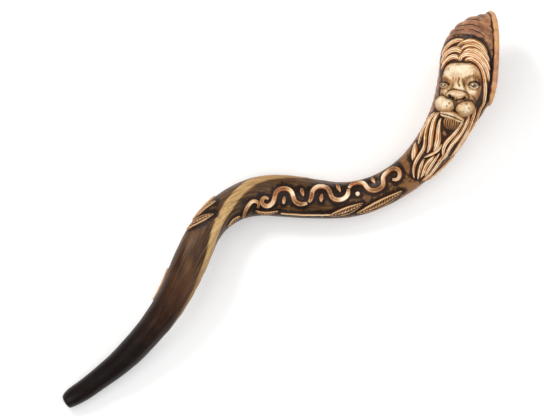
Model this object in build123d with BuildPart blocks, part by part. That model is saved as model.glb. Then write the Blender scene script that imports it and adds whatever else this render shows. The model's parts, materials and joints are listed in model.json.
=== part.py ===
from build123d import *
import math
import os

import numpy as np

# A long spiral ram-type horn blown as a shofar, lying at rest, dressed with applied relief: a lion at the bell,
# mane, scrolls and leaves. One natural horn carries every other piece, and nothing moves.
#
# Millimetres. The horn lies on the floor plane Z = 0, bell to +X +Y, mouthpiece to -X -Y.

os.makedirs("parts", exist_ok=True)

# ---------------------------------------------------------------- driving dimensions (mm)
BORE_R = 3.5  # drilled breath hole
CUP_R = 6.0  # mouthpiece cup, a straight counterbore in the end face
CUP_DEPTH = 11.0
CAVITY_START = 4  # station where the drilled hole meets the natural hollow
CAVITY_START_R = 4.4
RIM_ROLL_R = 4.3  # clay roll round the bell's edge
RIM_ROLL_INSET = 1.2  # how far inside the horn's skin the roll is centred
SQUARENESS = 2.15  # exponent of the horn's oval section, 2 is an ellipse
RINGS_PER_LOFT = 46  # sections in the horn's loft
HOLLOW_RINGS = 34  # sections in the hollow's loft
SINK = 1.3  # how deep applied pieces bed into the horn
MASK_LIFT = 2.2  # clay thickness of the lion's face
MASK_SINK = 1.4

# The horn's sections, mouthpiece to bell. Each row: the two ends of the section's wide axis seen from above
# (x, y, x, y), the height of its middle, the half depth, where the horn's keel sits (degrees, 0 at the first end,
# 90 on top), how proud the keel is (share of the radius), the section's lean towards +X (degrees), the wall.
STATIONS = [
    ( -294.6,  -251.6,  -283.8,  -268.9,  9.76,  10.2,   200, 0.000,  0.0,  0.0),
    ( -290.3,  -245.8,  -277.5,  -266.3, 11.76,  12.1,   200, 0.002,  0.0,  0.0),
    ( -279.3,  -237.0,  -265.1,  -260.2, 15.36,  13.5,   199, 0.005,  0.0,  0.0),
    ( -256.0,  -218.9,  -238.5,  -242.4, 20.36,  14.4,   197, 0.013,  0.0,  0.0),
    ( -233.1,  -198.9,  -212.2,  -224.0, 26.86,  15.9,   195, 0.021,  0.0, 12.5),
    ( -212.7,  -177.5,  -187.0,  -202.7, 34.35,  17.3,   190, 0.044,  0.0, 10.5),
    ( -193.4,  -154.8,  -164.0,  -178.9, 42.45,  18.1,   185, 0.068,  0.0,  9.0),
    ( -176.4,  -130.9,  -142.4,  -153.8, 50.05,  19.5,   177, 0.087,  0.0,  8.0),
    ( -161.5,  -105.1,  -123.2,  -125.6, 56.25,  20.7,   167, 0.105,  0.0,  7.5),
    ( -149.9,   -77.7,  -107.5,   -97.0, 59.55,  22.1,   156, 0.119,  0.0,  7.0),
    ( -137.6,   -49.5,   -94.8,   -69.5, 58.85,  22.4,   145, 0.130,  0.0,  6.8),
    ( -121.8,   -20.4,   -83.5,   -42.5, 53.05,  20.8,   122, 0.137,  0.0,  6.6),
    (  -97.9,     8.7,   -68.9,   -24.0, 42.75,  20.1,    97, 0.140,  0.0,  6.4),
    (  -67.2,    31.5,   -48.9,   -12.2, 31.16,  21.3,    67, 0.140,  0.0,  6.2),
    (  -32.5,    45.0,   -25.7,    -7.8, 24.66,  23.7,    39, 0.130,  0.0,  6.0),
    (    2.9,    47.6,    -0.3,    -9.1, 25.46,  25.0,    17, 0.122,  0.0,  6.0),
    (   31.9,    44.6,    27.1,   -11.0, 26.55,  24.6,    -4, 0.116,  0.0,  6.0),
    (   60.3,    39.9,    63.1,   -11.8, 25.75,  22.8,   -28, 0.110,  0.0,  6.0),
    (   89.3,    37.9,    98.8,    -9.7, 23.36,  21.6,   -52, 0.110,  0.0,  5.9),
    (  117.7,    43.5,   131.8,    -0.2, 22.75,  20.7,   -76, 0.109,  0.0,  5.8),
    (  142.6,    55.4,   163.6,    15.2, 28.05,  20.9,   -99, 0.103,  0.0,  5.6),
    (  163.6,    72.0,   193.3,    35.2, 37.55,  22.5,  -119, 0.097,  0.0,  5.4),
    (  177.7,    88.9,   218.9,    57.0, 47.65,  25.3,  -135, 0.092,  0.0,  5.2),
    (  187.9,   104.4,   237.8,    76.1, 55.75,  29.4,  -147, 0.083,  0.0,  5.0),
    (  196.4,   120.6,   253.3,    97.0, 61.85,  30.9,  -159, 0.071,  0.0,  4.8),
    (  203.1,   136.8,   264.1,   113.9, 65.95,  32.5,  -170, 0.060,  0.0,  4.6),
    (  208.4,   154.4,   271.0,   125.1, 68.66,  34.0,  -176, 0.054,  0.0,  4.4),
    (  212.2,   173.3,   274.7,   131.4, 69.76,  34.6,  -181, 0.049,  2.0,  4.3),
    (  214.6,   192.2,   276.7,   134.9, 70.45,  35.2,  -185, 0.045,  4.0,  4.2),
    (  217.0,   211.1,   277.9,   137.0, 70.56,  35.8,  -189, 0.041,  6.5,  4.1),
    (  223.4,   229.0,   278.6,   138.2, 70.66,  36.2,  -192, 0.039,  9.0,  4.0),
    (  234.8,   245.1,   279.0,   138.9, 70.76,  36.5,  -194, 0.037, 11.5,  4.0),
    (  253.3,   258.2,   279.1,   139.3, 70.76,  36.6,  -197, 0.035, 13.5,  4.0),
    (  283.7,   265.9,   279.1,   139.7, 70.76,  36.7,  -200, 0.032, 15.0,  4.0),
]

# Locks of hair: (line on the horn seen from above, half widths along it, height)
LOCKS = {
    "crown_left_outer": ([(247.3, 227.7), (239.9, 227.5), (232.6, 225.4), (226.6, 220.4), (221.9, 213.1), (219.7, 205.0)],
        [2.2, 3.0, 3.1, 3.0, 2.6, 1.2], 2.6),
    "crown_left_mid": ([(244.6, 211.5), (239.7, 214.8), (232.6, 215.0), (226.0, 210.7), (221.5, 204.0), (218.9, 195.6)],
        [2.8, 3.6, 3.5, 3.1, 2.6, 1.2], 3.0),
    "crown_left_inner": ([(240.8, 202.6), (237.0, 205.9), (231.6, 205.9), (226.0, 202.3), (221.5, 196.4), (218.7, 188.2)],
        [2.2, 2.8, 3.0, 2.7, 2.3, 1.1], 2.6),
    "crown_right_1": ([(237.8, 218.1), (243.1, 222.9), (250.1, 226.1), (258.2, 227.0), (266.2, 224.2), (272.9, 218.4), (278.7, 209.8)],
        [1.1, 2.0, 2.6, 2.7, 2.6, 2.2, 1.1], 2.6),
    "crown_right_2": ([(242.6, 214.1), (248.1, 218.8), (255.9, 221.0), (263.5, 220.6), (270.8, 216.0), (277.0, 208.3), (281.0, 199.0)],
        [1.1, 2.0, 2.4, 2.4, 2.3, 2.0, 1.1], 2.6),
    "crown_right_3": ([(245.7, 209.9), (251.1, 214.0), (258.1, 215.0), (265.1, 212.6), (272.1, 206.7), (278.1, 198.0), (281.7, 187.5)],
        [1.2, 2.4, 2.8, 2.8, 2.7, 2.3, 1.1], 2.6),
    "crown_right_4": ([(241.6, 199.9), (243.9, 205.6), (249.3, 208.8), (256.7, 209.1), (264.3, 205.9), (270.8, 199.8), (276.4, 192.1), (279.8, 182.8), (280.6, 172.6)],
        [1.6, 2.8, 3.2, 3.2, 3.1, 2.8, 2.6, 2.0, 1.1], 2.6),
    "crown_right_5": ([(249.0, 199.8), (252.4, 203.2), (257.8, 202.7), (263.9, 199.5), (268.9, 194.4), (272.8, 186.8), (275.0, 177.4), (276.2, 167.2), (275.9, 156.4), (274.3, 146.3), (271.3, 136.9)],
        [2.0, 2.6, 2.7, 2.6, 2.4, 2.3, 2.3, 2.3, 2.2, 1.9, 1.1], 2.8),
    "mane_left_1": ([(214.8, 131.3), (209.5, 122.6), (206.0, 112.2), (204.5, 103.5), (203.1, 93.3), (202.3, 84.6), (198.8, 77.3)],
        [1.2, 2.7, 3.5, 3.5, 3.2, 2.7, 1.1], 3.3),
    "mane_left_2": ([(216.8, 123.4), (214.6, 113.2), (213.3, 103.8), (212.7, 94.3), (211.1, 86.2), (207.5, 79.5)],
        [1.2, 2.4, 3.2, 3.9, 3.4, 1.2], 3.3),
    "mane_left_3": ([(217.6, 88.7), (214.3, 81.9), (208.1, 77.1), (201.1, 73.7), (194.5, 71.3)],
        [0.9, 1.8, 1.9, 1.6, 0.8], 2.7),
    "mane_left_4": ([(212.2, 131.5), (204.4, 122.7), (199.8, 112.6), (197.2, 103.8), (196.3, 94.3), (195.2, 85.6), (190.4, 76.5), (184.9, 68.0), (181.5, 59.2), (180.5, 49.8), (181.5, 43.0)],
        [0.9, 1.9, 2.2, 2.3, 2.4, 2.4, 2.4, 2.3, 2.0, 1.6, 0.8], 2.7),
    "mane_left_5": ([(208.9, 131.5), (201.4, 121.6), (196.3, 111.9), (192.1, 103.0), (189.5, 94.3), (187.3, 88.3)],
        [0.9, 1.9, 2.2, 2.2, 1.8, 0.8], 2.7),
    "mane_left_6": ([(183.8, 91.0), (183.0, 83.5), (181.1, 75.4), (179.4, 66.7)],
        [1.1, 4.1, 4.3, 1.1], 2.6),
    "mane_left_8": ([(195.0, 69.2), (191.5, 62.2), (189.0, 55.3), (187.2, 47.8), (186.5, 42.0)],
        [0.8, 2.2, 2.3, 1.9, 0.8], 2.7),
    "mane_left_9": ([(208.9, 73.4), (201.8, 66.8), (196.4, 59.6), (193.6, 51.0), (190.4, 43.6)],
        [0.9, 2.6, 2.7, 2.2, 0.8], 2.7),
    "mane_right_1": ([(247.3, 124.7), (243.9, 117.3), (238.5, 108.5), (232.4, 100.4), (225.4, 93.0), (221.0, 85.6), (219.5, 78.1), (219.6, 71.4)],
        [0.9, 2.0, 2.4, 2.6, 2.7, 2.6, 2.0, 0.8], 2.7),
    "mane_right_2": ([(254.7, 130.1), (252.0, 121.3), (247.0, 110.5), (240.4, 99.6), (232.6, 90.7), (226.9, 82.7), (223.5, 74.6), (218.9, 66.7)],
        [1.1, 2.6, 3.1, 3.2, 3.0, 2.6, 2.2, 0.9], 3.1),
    "mane_right_3": ([(262.8, 138.9), (260.8, 130.1), (257.3, 119.3), (252.1, 107.4), (245.4, 95.7), (239.5, 86.2), (233.8, 77.9), (228.9, 70.7)],
        [1.1, 2.2, 2.7, 3.0, 3.1, 2.8, 2.2, 0.9], 2.7),
    "mane_right_4": ([(271.9, 141.6), (268.1, 133.5), (264.3, 123.8), (258.8, 112.4), (251.9, 101.1), (245.7, 91.1), (239.7, 82.5), (233.8, 74.6)],
        [1.1, 1.8, 2.2, 2.3, 2.3, 2.2, 1.9, 0.9], 2.7),
    "mane_low_1": ([(225.0, 77.5), (217.6, 69.0), (212.0, 61.1), (205.2, 52.0), (197.9, 44.7), (191.1, 39.3)],
        [1.1, 2.7, 3.1, 3.1, 2.6, 0.9], 2.7),
    "mane_low_2": ([(235.7, 75.7), (226.5, 66.0), (216.8, 56.0), (206.8, 47.4), (197.1, 40.3)],
        [0.9, 2.2, 2.4, 2.2, 0.9], 2.7),
    "mane_low_3": ([(214.9, 76.5), (208.5, 67.3), (203.3, 59.4), (199.0, 52.5), (194.9, 46.3)],
        [0.9, 2.0, 2.3, 1.9, 0.8], 2.7),
}
# Flat clay ribbons: the same
RIBBONS = {
    "ribbon_1": ([(-15.4, 14.7), (-19.5, 16.9), (-23.8, 13.9), (-23.3, 8.2), (-16.8, 5.4), (-10.0, 9.0), (-6.9, 17.0), (-4.4, 24.5), (3.5, 28.5), (13.1, 26.9), (17.6, 20.4), (19.8, 12.8), (26.9, 8.1), (36.9, 9.2)],
        [1.5, 2.4, 3.0, 3.2, 3.4, 3.4, 3.4, 3.4, 3.4, 3.4, 3.4, 3.4, 3.4, 2.0], 2.4),
    "ribbon_2": ([(39.1, 10.5), (42.7, 16.7), (43.8, 24.0), (48.4, 29.4), (57.2, 31.3), (64.8, 28.4), (67.9, 22.0), (71.4, 15.7), (79.6, 13.5), (88.3, 16.4), (92.3, 22.1), (92.7, 28.1)],
        [2.0, 3.4, 3.4, 3.4, 3.4, 3.4, 3.4, 3.4, 3.4, 3.4, 3.4, 2.0], 2.4),
    "ribbon_3": ([(93.1, 29.7), (98.7, 34.3), (108.6, 36.3), (115.1, 34.2), (118.5, 29.3), (125.0, 26.1), (134.7, 28.3), (140.6, 35.0), (139.7, 42.6), (144.7, 49.8), (152.5, 55.2), (160.1, 54.4), (162.8, 47.6), (158.7, 41.2), (152.5, 41.2)],
        [2.0, 3.4, 3.4, 3.4, 3.4, 3.4, 3.4, 3.4, 3.4, 3.4, 3.4, 3.2, 3.0, 2.6, 1.8], 2.4),
    "drop_1": ([(5.0, 8.3), (5.6, 11.8), (6.1, 15.3), (6.6, 18.3)],
        [0.9, 2.6, 2.2, 0.8], 2.4),
    "drop_2": ([(31.9, 18.4), (30.8, 22.0), (29.6, 25.6), (28.6, 28.7)],
        [0.8, 2.4, 2.8, 0.9], 2.4),
    "drop_3": ([(55.4, 10.9), (55.8, 14.7), (56.3, 18.5), (56.7, 21.7)],
        [0.9, 2.8, 2.4, 0.8], 2.4),
    "drop_4": ([(81.5, 24.1), (80.0, 27.5), (78.4, 30.8), (77.1, 33.7)],
        [0.8, 2.4, 2.8, 0.9], 2.4),
    "drop_5": ([(129.1, 35.7), (127.5, 38.1), (125.9, 40.6), (124.5, 42.7)],
        [0.8, 2.2, 2.6, 0.9], 2.4),
    "tendril_curl": ([(-50.4, -11.0), (-47.3, -1.8), (-42.2, 7.1), (-34.6, 12.3), (-28.7, 8.8), (-30.0, 2.5)],
        [1.2, 2.6, 2.7, 2.6, 2.2, 1.4], 2.2),
}
# Leaves and their stem: the same
LEAVES = {
    "leaf_front_low": ([(66.4, -7.2), (78.5, -4.7), (94.7, 0.4), (112.3, 9.3)],
        [0.7, 4.7, 5.5, 0.7], 1.9),
    "leaf_front_high": ([(104.2, -3.7), (121.7, 1.7), (142.7, 11.5), (164.9, 25.8)],
        [0.7, 5.8, 6.6, 0.7], 1.9),
    "leaf_bend_outer": ([(-124.6, -27.2), (-116.5, -19.1), (-104.4, -11.8), (-89.5, -5.6)],
        [0.7, 4.3, 4.7, 0.7], 1.9),
    "leaf_bend_inner": ([(-110.5, -8.3), (-104.8, -0.7), (-96.7, 6.1), (-86.8, 11.2)],
        [0.7, 3.4, 3.4, 0.7], 1.9),
    "leaflet_left": ([(-70.5, -22.2), (-63.5, -14.5), (-54.4, -8.5)],
        [0.7, 2.8, 0.7], 1.9),
    "leaflet_mid": ([(-32.8, -1.0), (-24.1, -3.7), (-13.3, -3.7), (-2.5, -1.4)],
        [0.7, 2.3, 2.2, 0.7], 1.9),
    "vine_front": ([(1.6, -4.5), (16.4, -5.8), (34.0, -6.6), (51.5, -6.9), (69.1, -6.4)],
        [1.1, 1.5, 1.6, 1.5, 1.1], 1.6),
}
BLUNT = ("nose", "muzzle_left", "muzzle_right")  # features with round ends
# The lion's features that stand on its face: the same
FACE = {
    "nose": ([(224.9, 153.2), (230.5, 154.8), (238.9, 154.3), (246.7, 152.7), (252.7, 150.2)],
        [1.6, 5.7, 7.6, 5.9, 1.8], 9.5),
    "muzzle_left": ([(211.2, 144.3), (213.0, 143.9), (217.6, 142.9), (223.4, 141.7), (229.2, 140.5), (233.8, 139.4), (235.7, 139.0)],
        [1.8, 6.2, 9.5, 10.4, 9.5, 6.2, 1.8], 8.5),
    "muzzle_right": ([(236.2, 133.2), (238.2, 133.8), (243.0, 135.1), (248.6, 136.6), (254.3, 138.2), (258.9, 139.4), (260.8, 140.0)],
        [1.8, 6.2, 9.5, 10.5, 9.5, 6.2, 1.8], 9.5),
    "lower_lip": ([(217.4, 130.0), (223.7, 128.9), (231.1, 127.0), (238.9, 123.5), (245.7, 120.3)],
        [1.4, 3.6, 4.2, 3.8, 1.5], 6.0),
    "chin_tuft": ([(231.4, 124.0), (230.8, 118.6), (230.3, 112.6), (229.5, 105.8)],
        [5.7, 8.4, 7.3, 2.2], 5.0),
}
# Pieces round the back: (line as (station, degrees round the section), half widths, height)
BACK = {
    "back_vine": ([(7.20, -24), (8.20, -34), (9.30, -40), (10.40, -36), (11.40, -30), (12.20, -24)],
        [1.1, 1.5, 1.6, 1.6, 1.5, 1.1], 2.0),
    "back_leaf_1": ([(11.25, -14), (11.62, -8), (12.00, -6), (12.40, -10)],
        [0.7, 3.9, 3.9, 0.7], 1.9),
    "back_leaf_2": ([(7.55, -16), (7.95, -9), (8.35, -8), (8.80, -14)],
        [0.7, 4.1, 4.1, 0.7], 1.9),
    "back_mane_1": ([(25.60, -30), (24.70, -34), (23.80, -38), (22.70, -36), (21.90, -28)],
        [1.2, 3.5, 3.6, 3.0, 0.9], 2.8),
    "back_mane_2": ([(26.60, -58), (25.40, -62), (24.20, -66), (23.00, -66), (21.90, -58)],
        [1.2, 4.1, 4.3, 3.5, 0.9], 2.9),
    "back_mane_3": ([(27.30, -88), (26.00, -92), (24.60, -95), (23.20, -94), (22.00, -86)],
        [1.2, 4.3, 4.6, 3.8, 0.9], 3.0),
    "back_mane_4": ([(26.60, -120), (25.40, -122), (24.20, -124), (23.00, -122), (21.80, -112)],
        [1.2, 4.1, 4.3, 3.5, 0.9], 2.9),
    "back_mane_5": ([(26.20, -150), (25.20, -150), (24.20, -150), (23.00, -149), (22.00, -142)],
        [1.1, 3.0, 3.2, 2.7, 0.9], 2.6),
}
# Balls: x, y, radius, how far the centre stands over the horn's skin
BALLS = {
    "eye_left": (221.5, 167.0, 4.2, 1.6),
    "eye_right": (260.5, 167.4, 4.3, 1.6),
    "bead": (105.3, 21.4, 3.2, 1.2),
}
# The lion's face, brow to lip: y of a cut, x where the face starts and ends there
MASK = [
    (197.6, 229.7, 255.4),
    (193.6, 224.3, 262.8),
    (188.2, 221.1, 267.5),
    (180.7, 218.9, 270.5),
    (172.6, 217.6, 271.6),
    (164.5, 216.5, 271.3),
    (156.4, 215.4, 269.7),
    (148.3, 214.6, 265.6),
    (140.2, 216.2, 259.4),
    (133.5, 221.0, 251.3),
]
# Swellings and hollows of the face: x, y, spread in x, spread in y, height
BUMPS = [
    (242.6, 187.5, 14.9, 9.5, 1.2),
    (241.3, 175.3, 4.9, 9.5, 2.2),
    (240.0, 163.2, 6.2, 8.1, 3.6),
    (222.3, 174.9, 7.4, 3.5, 1.6),
    (260.8, 176.7, 8.1, 3.5, 1.8),
    (221.9, 167.0, 6.2, 4.3, -1.9),
    (260.5, 167.0, 7.3, 5.1, -2.1),
    (218.3, 155.1, 5.4, 6.8, 1.2),
    (262.8, 154.4, 6.8, 6.8, 1.4),
    (236.5, 142.9, 12.2, 8.1, 2.2),
]


# ---------------------------------------------------------------- the horn's surface
def natural_spline(t, y):
    """Natural cubic spline through rows y at the knots t."""
    t, y = np.asarray(t, float), np.asarray(y, float)
    n, h = len(t), np.diff(np.asarray(t, float))
    left, right = np.zeros((n, n)), np.zeros(y.shape)
    left[0, 0] = left[-1, -1] = 1
    for i in range(1, n - 1):
        left[i, i - 1], left[i, i], left[i, i + 1] = h[i - 1], 2 * (h[i - 1] + h[i]), h[i]
        right[i] = 6 * ((y[i + 1] - y[i]) / h[i] - (y[i] - y[i - 1]) / h[i - 1])
    m = np.linalg.solve(left, right)

    def at(x):
        x = np.atleast_1d(np.asarray(x, float))
        k = np.clip(np.searchsorted(t, x, side="right") - 1, 0, n - 2)
        d, hk = (x - t[k])[:, None], h[k][:, None]
        slope = (y[k + 1] - y[k]) / hk - hk * (2 * m[k] + m[k + 1]) / 6
        return y[k] + d * slope + d**2 * m[k] / 2 + d**3 * (m[k + 1] - m[k]) / (6 * hk)

    return at


ROWS = np.array(STATIONS, float)
MIDDLES = np.column_stack([(ROWS[:, 0] + ROWS[:, 2]) / 2, (ROWS[:, 1] + ROWS[:, 3]) / 2, ROWS[:, 4]])
REACH = np.concatenate([[0], np.cumsum(np.linalg.norm(np.diff(MIDDLES, axis=0), axis=1))])
HORN = natural_spline(REACH, ROWS)
LENGTH = float(REACH[-1])


def station_reach(k):
    """Distance along the horn of station k, which may be a fraction."""
    return float(np.interp(k, range(len(REACH)), REACH))


def frame(u):
    """Middle, wide axis, deep axis, normal, half width, half depth, keel place, keel rise and wall at distance u."""
    v, a, b = HORN(u)[0], HORN(max(u - 0.5, 0))[0], HORN(min(u + 0.5, LENGTH))[0]
    middle = np.array([(v[0] + v[2]) / 2, (v[1] + v[3]) / 2, v[4]])
    along = np.array([b[0] + b[2] - a[0] - a[2], b[1] + b[3] - a[1] - a[3], 2 * (b[4] - a[4])])
    along /= np.linalg.norm(along)
    wide = np.array([v[0] - v[2], v[1] - v[3], 0.0])
    half = np.linalg.norm(wide) / 2
    wide /= 2 * half
    normal = along - (along @ wide) * wide
    normal /= np.linalg.norm(normal)
    deep = np.cross(normal, wide)
    lean = math.radians(max(v[8], 0))
    deep = math.cos(lean) * deep + math.sin(lean) * normal
    normal = np.cross(wide, deep)
    keel = np.interp(u, REACH, ROWS[:, 6])
    rise = np.interp(u, REACH, ROWS[:, 7])
    wall = np.interp(u, REACH, ROWS[:, 9])
    return middle, wide, deep, normal, half, v[5], keel, rise, wall


def spread(start, count):
    """Distances along the horn for this many sections, closer together where the horn turns sharply."""
    u = np.linspace(start, LENGTH, 800)
    v = HORN(u)
    one, other = (np.linalg.norm(np.diff(v[:, i : i + 2], axis=0), axis=1) for i in (0, 2))
    step = np.maximum(np.maximum(one, other), np.diff(u))
    way = np.concatenate([[0], np.cumsum(step)])
    return np.interp(np.linspace(0, way[-1], count), way, u)


def outline(keel, rise, degrees):
    """The section's outline for unit half axes: an oval with a keel and slightly hollow flanks beside it."""
    t = np.radians(degrees)
    off = np.abs((t - math.radians(keel) + math.pi) % (2 * math.pi) - math.pi)
    grow = 1 + rise * (np.exp(-((off / 0.42) ** 2)) - 0.35 * np.exp(-(((off - 1.0) / 0.45) ** 2)))
    x = grow * np.sign(np.cos(t)) * np.abs(np.cos(t)) ** (2 / SQUARENESS)
    y = grow * np.sign(np.sin(t)) * np.abs(np.sin(t)) ** (2 / SQUARENESS)
    fine = np.radians(np.arange(0, 360, 2.0))
    off = np.abs((fine - math.radians(keel) + math.pi) % (2 * math.pi) - math.pi)
    full = (1 + rise * (np.exp(-((off / 0.42) ** 2)) - 0.35 * np.exp(-(((off - 1.0) / 0.45) ** 2)))) * np.sign(
        np.cos(fine)
    ) * np.abs(np.cos(fine)) ** (2 / SQUARENESS)
    hi, lo = full.max(), full.min()
    return (x - (hi + lo) / 2) / ((hi - lo) / 2), y


def skin_grid(rings=420, spokes=96):
    """Points of the horn's outer skin, and outward normals."""
    points = []
    for u in np.linspace(0, LENGTH, rings):
        middle, wide, deep, _, half, depth, keel, rise, _ = frame(u)
        x, y = outline(keel, rise, np.arange(spokes) * 360.0 / spokes)
        points.append(middle + np.outer(x * half, wide) + np.outer(y * depth, deep))
    points = np.array(points)
    down = np.gradient(points, axis=0)
    round_ = (np.roll(points, -1, axis=1) - np.roll(points, 1, axis=1)) / 2
    normals = np.cross(round_, down)
    normals /= np.linalg.norm(normals, axis=2)[:, :, None]
    return points, normals


SKIN, NORMALS = skin_grid()
if ((NORMALS * (SKIN - SKIN.mean(axis=1, keepdims=True))).sum(axis=2)).mean() < 0:
    NORMALS = -NORMALS
A0, B0 = SKIN[:-1], SKIN[1:]
A1, B1 = np.roll(A0, -1, axis=1), np.roll(B0, -1, axis=1)
NA0, NB0 = NORMALS[:-1], NORMALS[1:]
NA1, NB1 = np.roll(NA0, -1, axis=1), np.roll(NB0, -1, axis=1)
TRIS = np.concatenate([np.stack([A0, B0, B1], 2).reshape(-1, 3, 3), np.stack([A0, B1, A1], 2).reshape(-1, 3, 3)])
TRI_NORMALS = np.concatenate(
    [np.stack([NA0, NB0, NB1], 2).reshape(-1, 3, 3), np.stack([NA0, NB1, NA1], 2).reshape(-1, 3, 3)]
)
LOW, HIGH = TRIS[:, :, :2].min(axis=1), TRIS[:, :, :2].max(axis=1)


def on_top(x, y):
    """The highest point of the horn's skin over (x, y), and the outward normal there. Outside the horn's outline,
    the nearest point of the outline."""
    near = np.nonzero((LOW[:, 0] <= x) & (HIGH[:, 0] >= x) & (LOW[:, 1] <= y) & (HIGH[:, 1] >= y))[0]
    best = None
    for i in near:
        a, b, c = TRIS[i]
        det = (b[0] - a[0]) * (c[1] - a[1]) - (c[0] - a[0]) * (b[1] - a[1])
        if abs(det) < 1e-9:
            continue
        p = ((x - a[0]) * (c[1] - a[1]) - (c[0] - a[0]) * (y - a[1])) / det
        q = ((b[0] - a[0]) * (y - a[1]) - (x - a[0]) * (b[1] - a[1])) / det
        if p < -1e-6 or q < -1e-6 or p + q > 1 + 1e-6:
            continue
        z = a[2] + p * (b[2] - a[2]) + q * (c[2] - a[2])
        if best is None or z > best[0][2]:
            n = TRI_NORMALS[i][0] * (1 - p - q) + TRI_NORMALS[i][1] * p + TRI_NORMALS[i][2] * q
            best = (np.array([x, y, z]), n / np.linalg.norm(n))
    if best is not None:
        return best
    flat = SKIN.reshape(-1, 3)
    cost = (flat[:, 0] - x) ** 2 + (flat[:, 1] - y) ** 2 - 0.02 * flat[:, 2]
    i = int(np.argmin(cost))
    return flat[i].copy(), NORMALS.reshape(-1, 3)[i].copy()


def round_skin(k, degrees):
    """The skin's point and normal at station k and this many degrees round the section."""
    u, e = station_reach(k), 0.4

    def at(u, d):
        middle, wide, deep, _, half, depth, keel, rise, _ = frame(u)
        x, y = outline(keel, rise, np.array([d]))
        return middle + x[0] * half * wide + y[0] * depth * deep

    here = at(u, degrees)
    n = np.cross(at(u, degrees + 1) - at(u, degrees - 1), at(min(u + e, LENGTH), degrees) - at(max(u - e, 0), degrees))
    n /= np.linalg.norm(n)
    return here, n if n @ (here - frame(u)[0]) > 0 else -n


# ---------------------------------------------------------------- pieces laid along a line on the skin
def laid(line, widths, lookup, step=5.0, most=12, blunt=False):
    """Planes and half widths of a piece's sections along a line on the skin. Each plane's y points out of the horn.
    A blunt piece has its sections closer together at its ends."""
    line = np.array(line, float)
    chord = np.concatenate([[0], np.cumsum(np.linalg.norm(np.diff(line, axis=0), axis=1))])
    path = natural_spline(chord, line)
    spots = [lookup(*p) for p in path(np.linspace(0, chord[-1], 60))]
    long = np.concatenate([[0], np.cumsum([np.linalg.norm(b[0] - a[0]) for a, b in zip(spots, spots[1:])])])
    count = int(min(max(round(long[-1] / step), 6), most)) + 1
    ends = []
    even = np.linspace(0, 1, count)
    for want in long[-1] * ((1 - np.cos(math.pi * even)) / 2 if blunt else even):
        t = np.interp(want, long, np.linspace(0, chord[-1], 60))
        here, n = lookup(*path(t)[0])
        before, after = lookup(*path(max(t - 0.6, 0))[0])[0], lookup(*path(min(t + 0.6, chord[-1]))[0])[0]
        ends.append([here, n, after - before, float(np.interp(t, chord, widths))])
    out = []
    for here, n, along, half in ends:
        along = along / np.linalg.norm(along)
        n = n - (n @ along) * along
        n /= np.linalg.norm(n)
        out.append((here, n, along, half))
    return out


def plane_at(here, n, along, lift):
    """A section plane: x across the piece, y out of the horn, origin lift over the skin."""
    return Plane(
        origin=tuple(here + n * lift), x_dir=tuple(np.cross(n, along)), z_dir=tuple(along)
    )


def save(part, label):
    part.label = label
    export_step(part, f"parts/{label}.step")


# ---------------------------------------------------------------- the horn
with BuildPart() as horn:
    for u in spread(0, RINGS_PER_LOFT):
        middle, wide, deep, normal, half, depth, keel, rise, _ = frame(u)
        x, y = outline(keel, rise, np.arange(20) * 18.0)
        with BuildSketch(Plane(origin=tuple(middle), x_dir=tuple(wide), z_dir=tuple(normal))):
            with BuildLine():
                Spline([(a * half, b * depth) for a, b in zip(x, y)], periodic=True)
            make_face()
    loft()
    # the natural hollow, from where the drilled hole ends to just past the rim
    start = station_reach(CAVITY_START)
    for u in [*spread(start, HOLLOW_RINGS), LENGTH + 3.0]:
        middle, wide, deep, normal, half, depth, keel, rise, wall = frame(min(u, LENGTH))
        middle = middle + normal * max(u - LENGTH, 0)
        open_ = max(half - wall, CAVITY_START_R), max(depth - wall, CAVITY_START_R)
        x, y = outline(keel, 0.7 * rise * min(1, (u - start) / 120), np.arange(16) * 22.5)
        with BuildSketch(Plane(origin=tuple(middle), x_dir=tuple(wide), z_dir=tuple(normal))):
            with BuildLine():
                Spline([(a * open_[0], b * open_[1]) for a, b in zip(x, y)], periodic=True)
            make_face()
    loft(mode=Mode.SUBTRACT)
    # the drilled hole and the mouthpiece cup
    tip, inner = frame(0)[0], frame(start)[0]
    way = (inner - tip) / np.linalg.norm(inner - tip)
    with BuildSketch(Plane(origin=tuple(tip - way * 2), z_dir=tuple(way))):
        Circle(BORE_R)
    extrude(amount=float(np.linalg.norm(inner - tip)) + 6, mode=Mode.SUBTRACT)
    side = np.cross(way, [0, 0, 1.0])
    side /= np.linalg.norm(side)
    with BuildSketch(Plane(origin=tuple(tip), x_dir=tuple(side), z_dir=tuple(np.cross(side, way)))):
        with BuildLine():
            Line((0, -2), (CUP_R + 0.9, -2))
            Line((CUP_R + 0.9, -2), (CUP_R, 0.6))
            Line((CUP_R, 0.6), (CUP_R, CUP_DEPTH))
            Line((CUP_R, CUP_DEPTH), (0, CUP_DEPTH))
            Line((0, CUP_DEPTH), (0, -2))
        make_face()
    revolve(axis=Axis(tuple(tip), tuple(way)), mode=Mode.SUBTRACT)
save(horn.part, "horn")

# ---------------------------------------------------------------- the roll round the bell's edge
middle, wide, deep, normal, half, depth, keel, rise, _ = frame(LENGTH)
x, y = outline(keel, rise, np.arange(24) * 15.0)
edge = middle + np.outer(x * (half - RIM_ROLL_INSET), wide) + np.outer(y * (depth - RIM_ROLL_INSET), deep)
with BuildPart() as rim_roll:
    with BuildLine() as rim_line:
        Spline([tuple(p) for p in edge], periodic=True)
    with BuildSketch(Plane(origin=rim_line.line @ 0, z_dir=rim_line.line % 0)):
        Circle(RIM_ROLL_R)
    sweep()
save(rim_roll.part, "rim_roll")


# ---------------------------------------------------------------- the lion's face
def face_height(x, y, share):
    """Height of the face's clay over the skin. share runs from -1 to 1 across the face."""
    h = MASK_LIFT * (1 - abs(share) ** 3) + 0.5
    for bx, by, sx, sy, up in BUMPS:
        h += up * math.exp(-(((x - bx) / sx) ** 2) / 2 - ((y - by) / sy) ** 2 / 2) * (1 - abs(share) ** 4)
    return max(h, 0.4)


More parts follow.
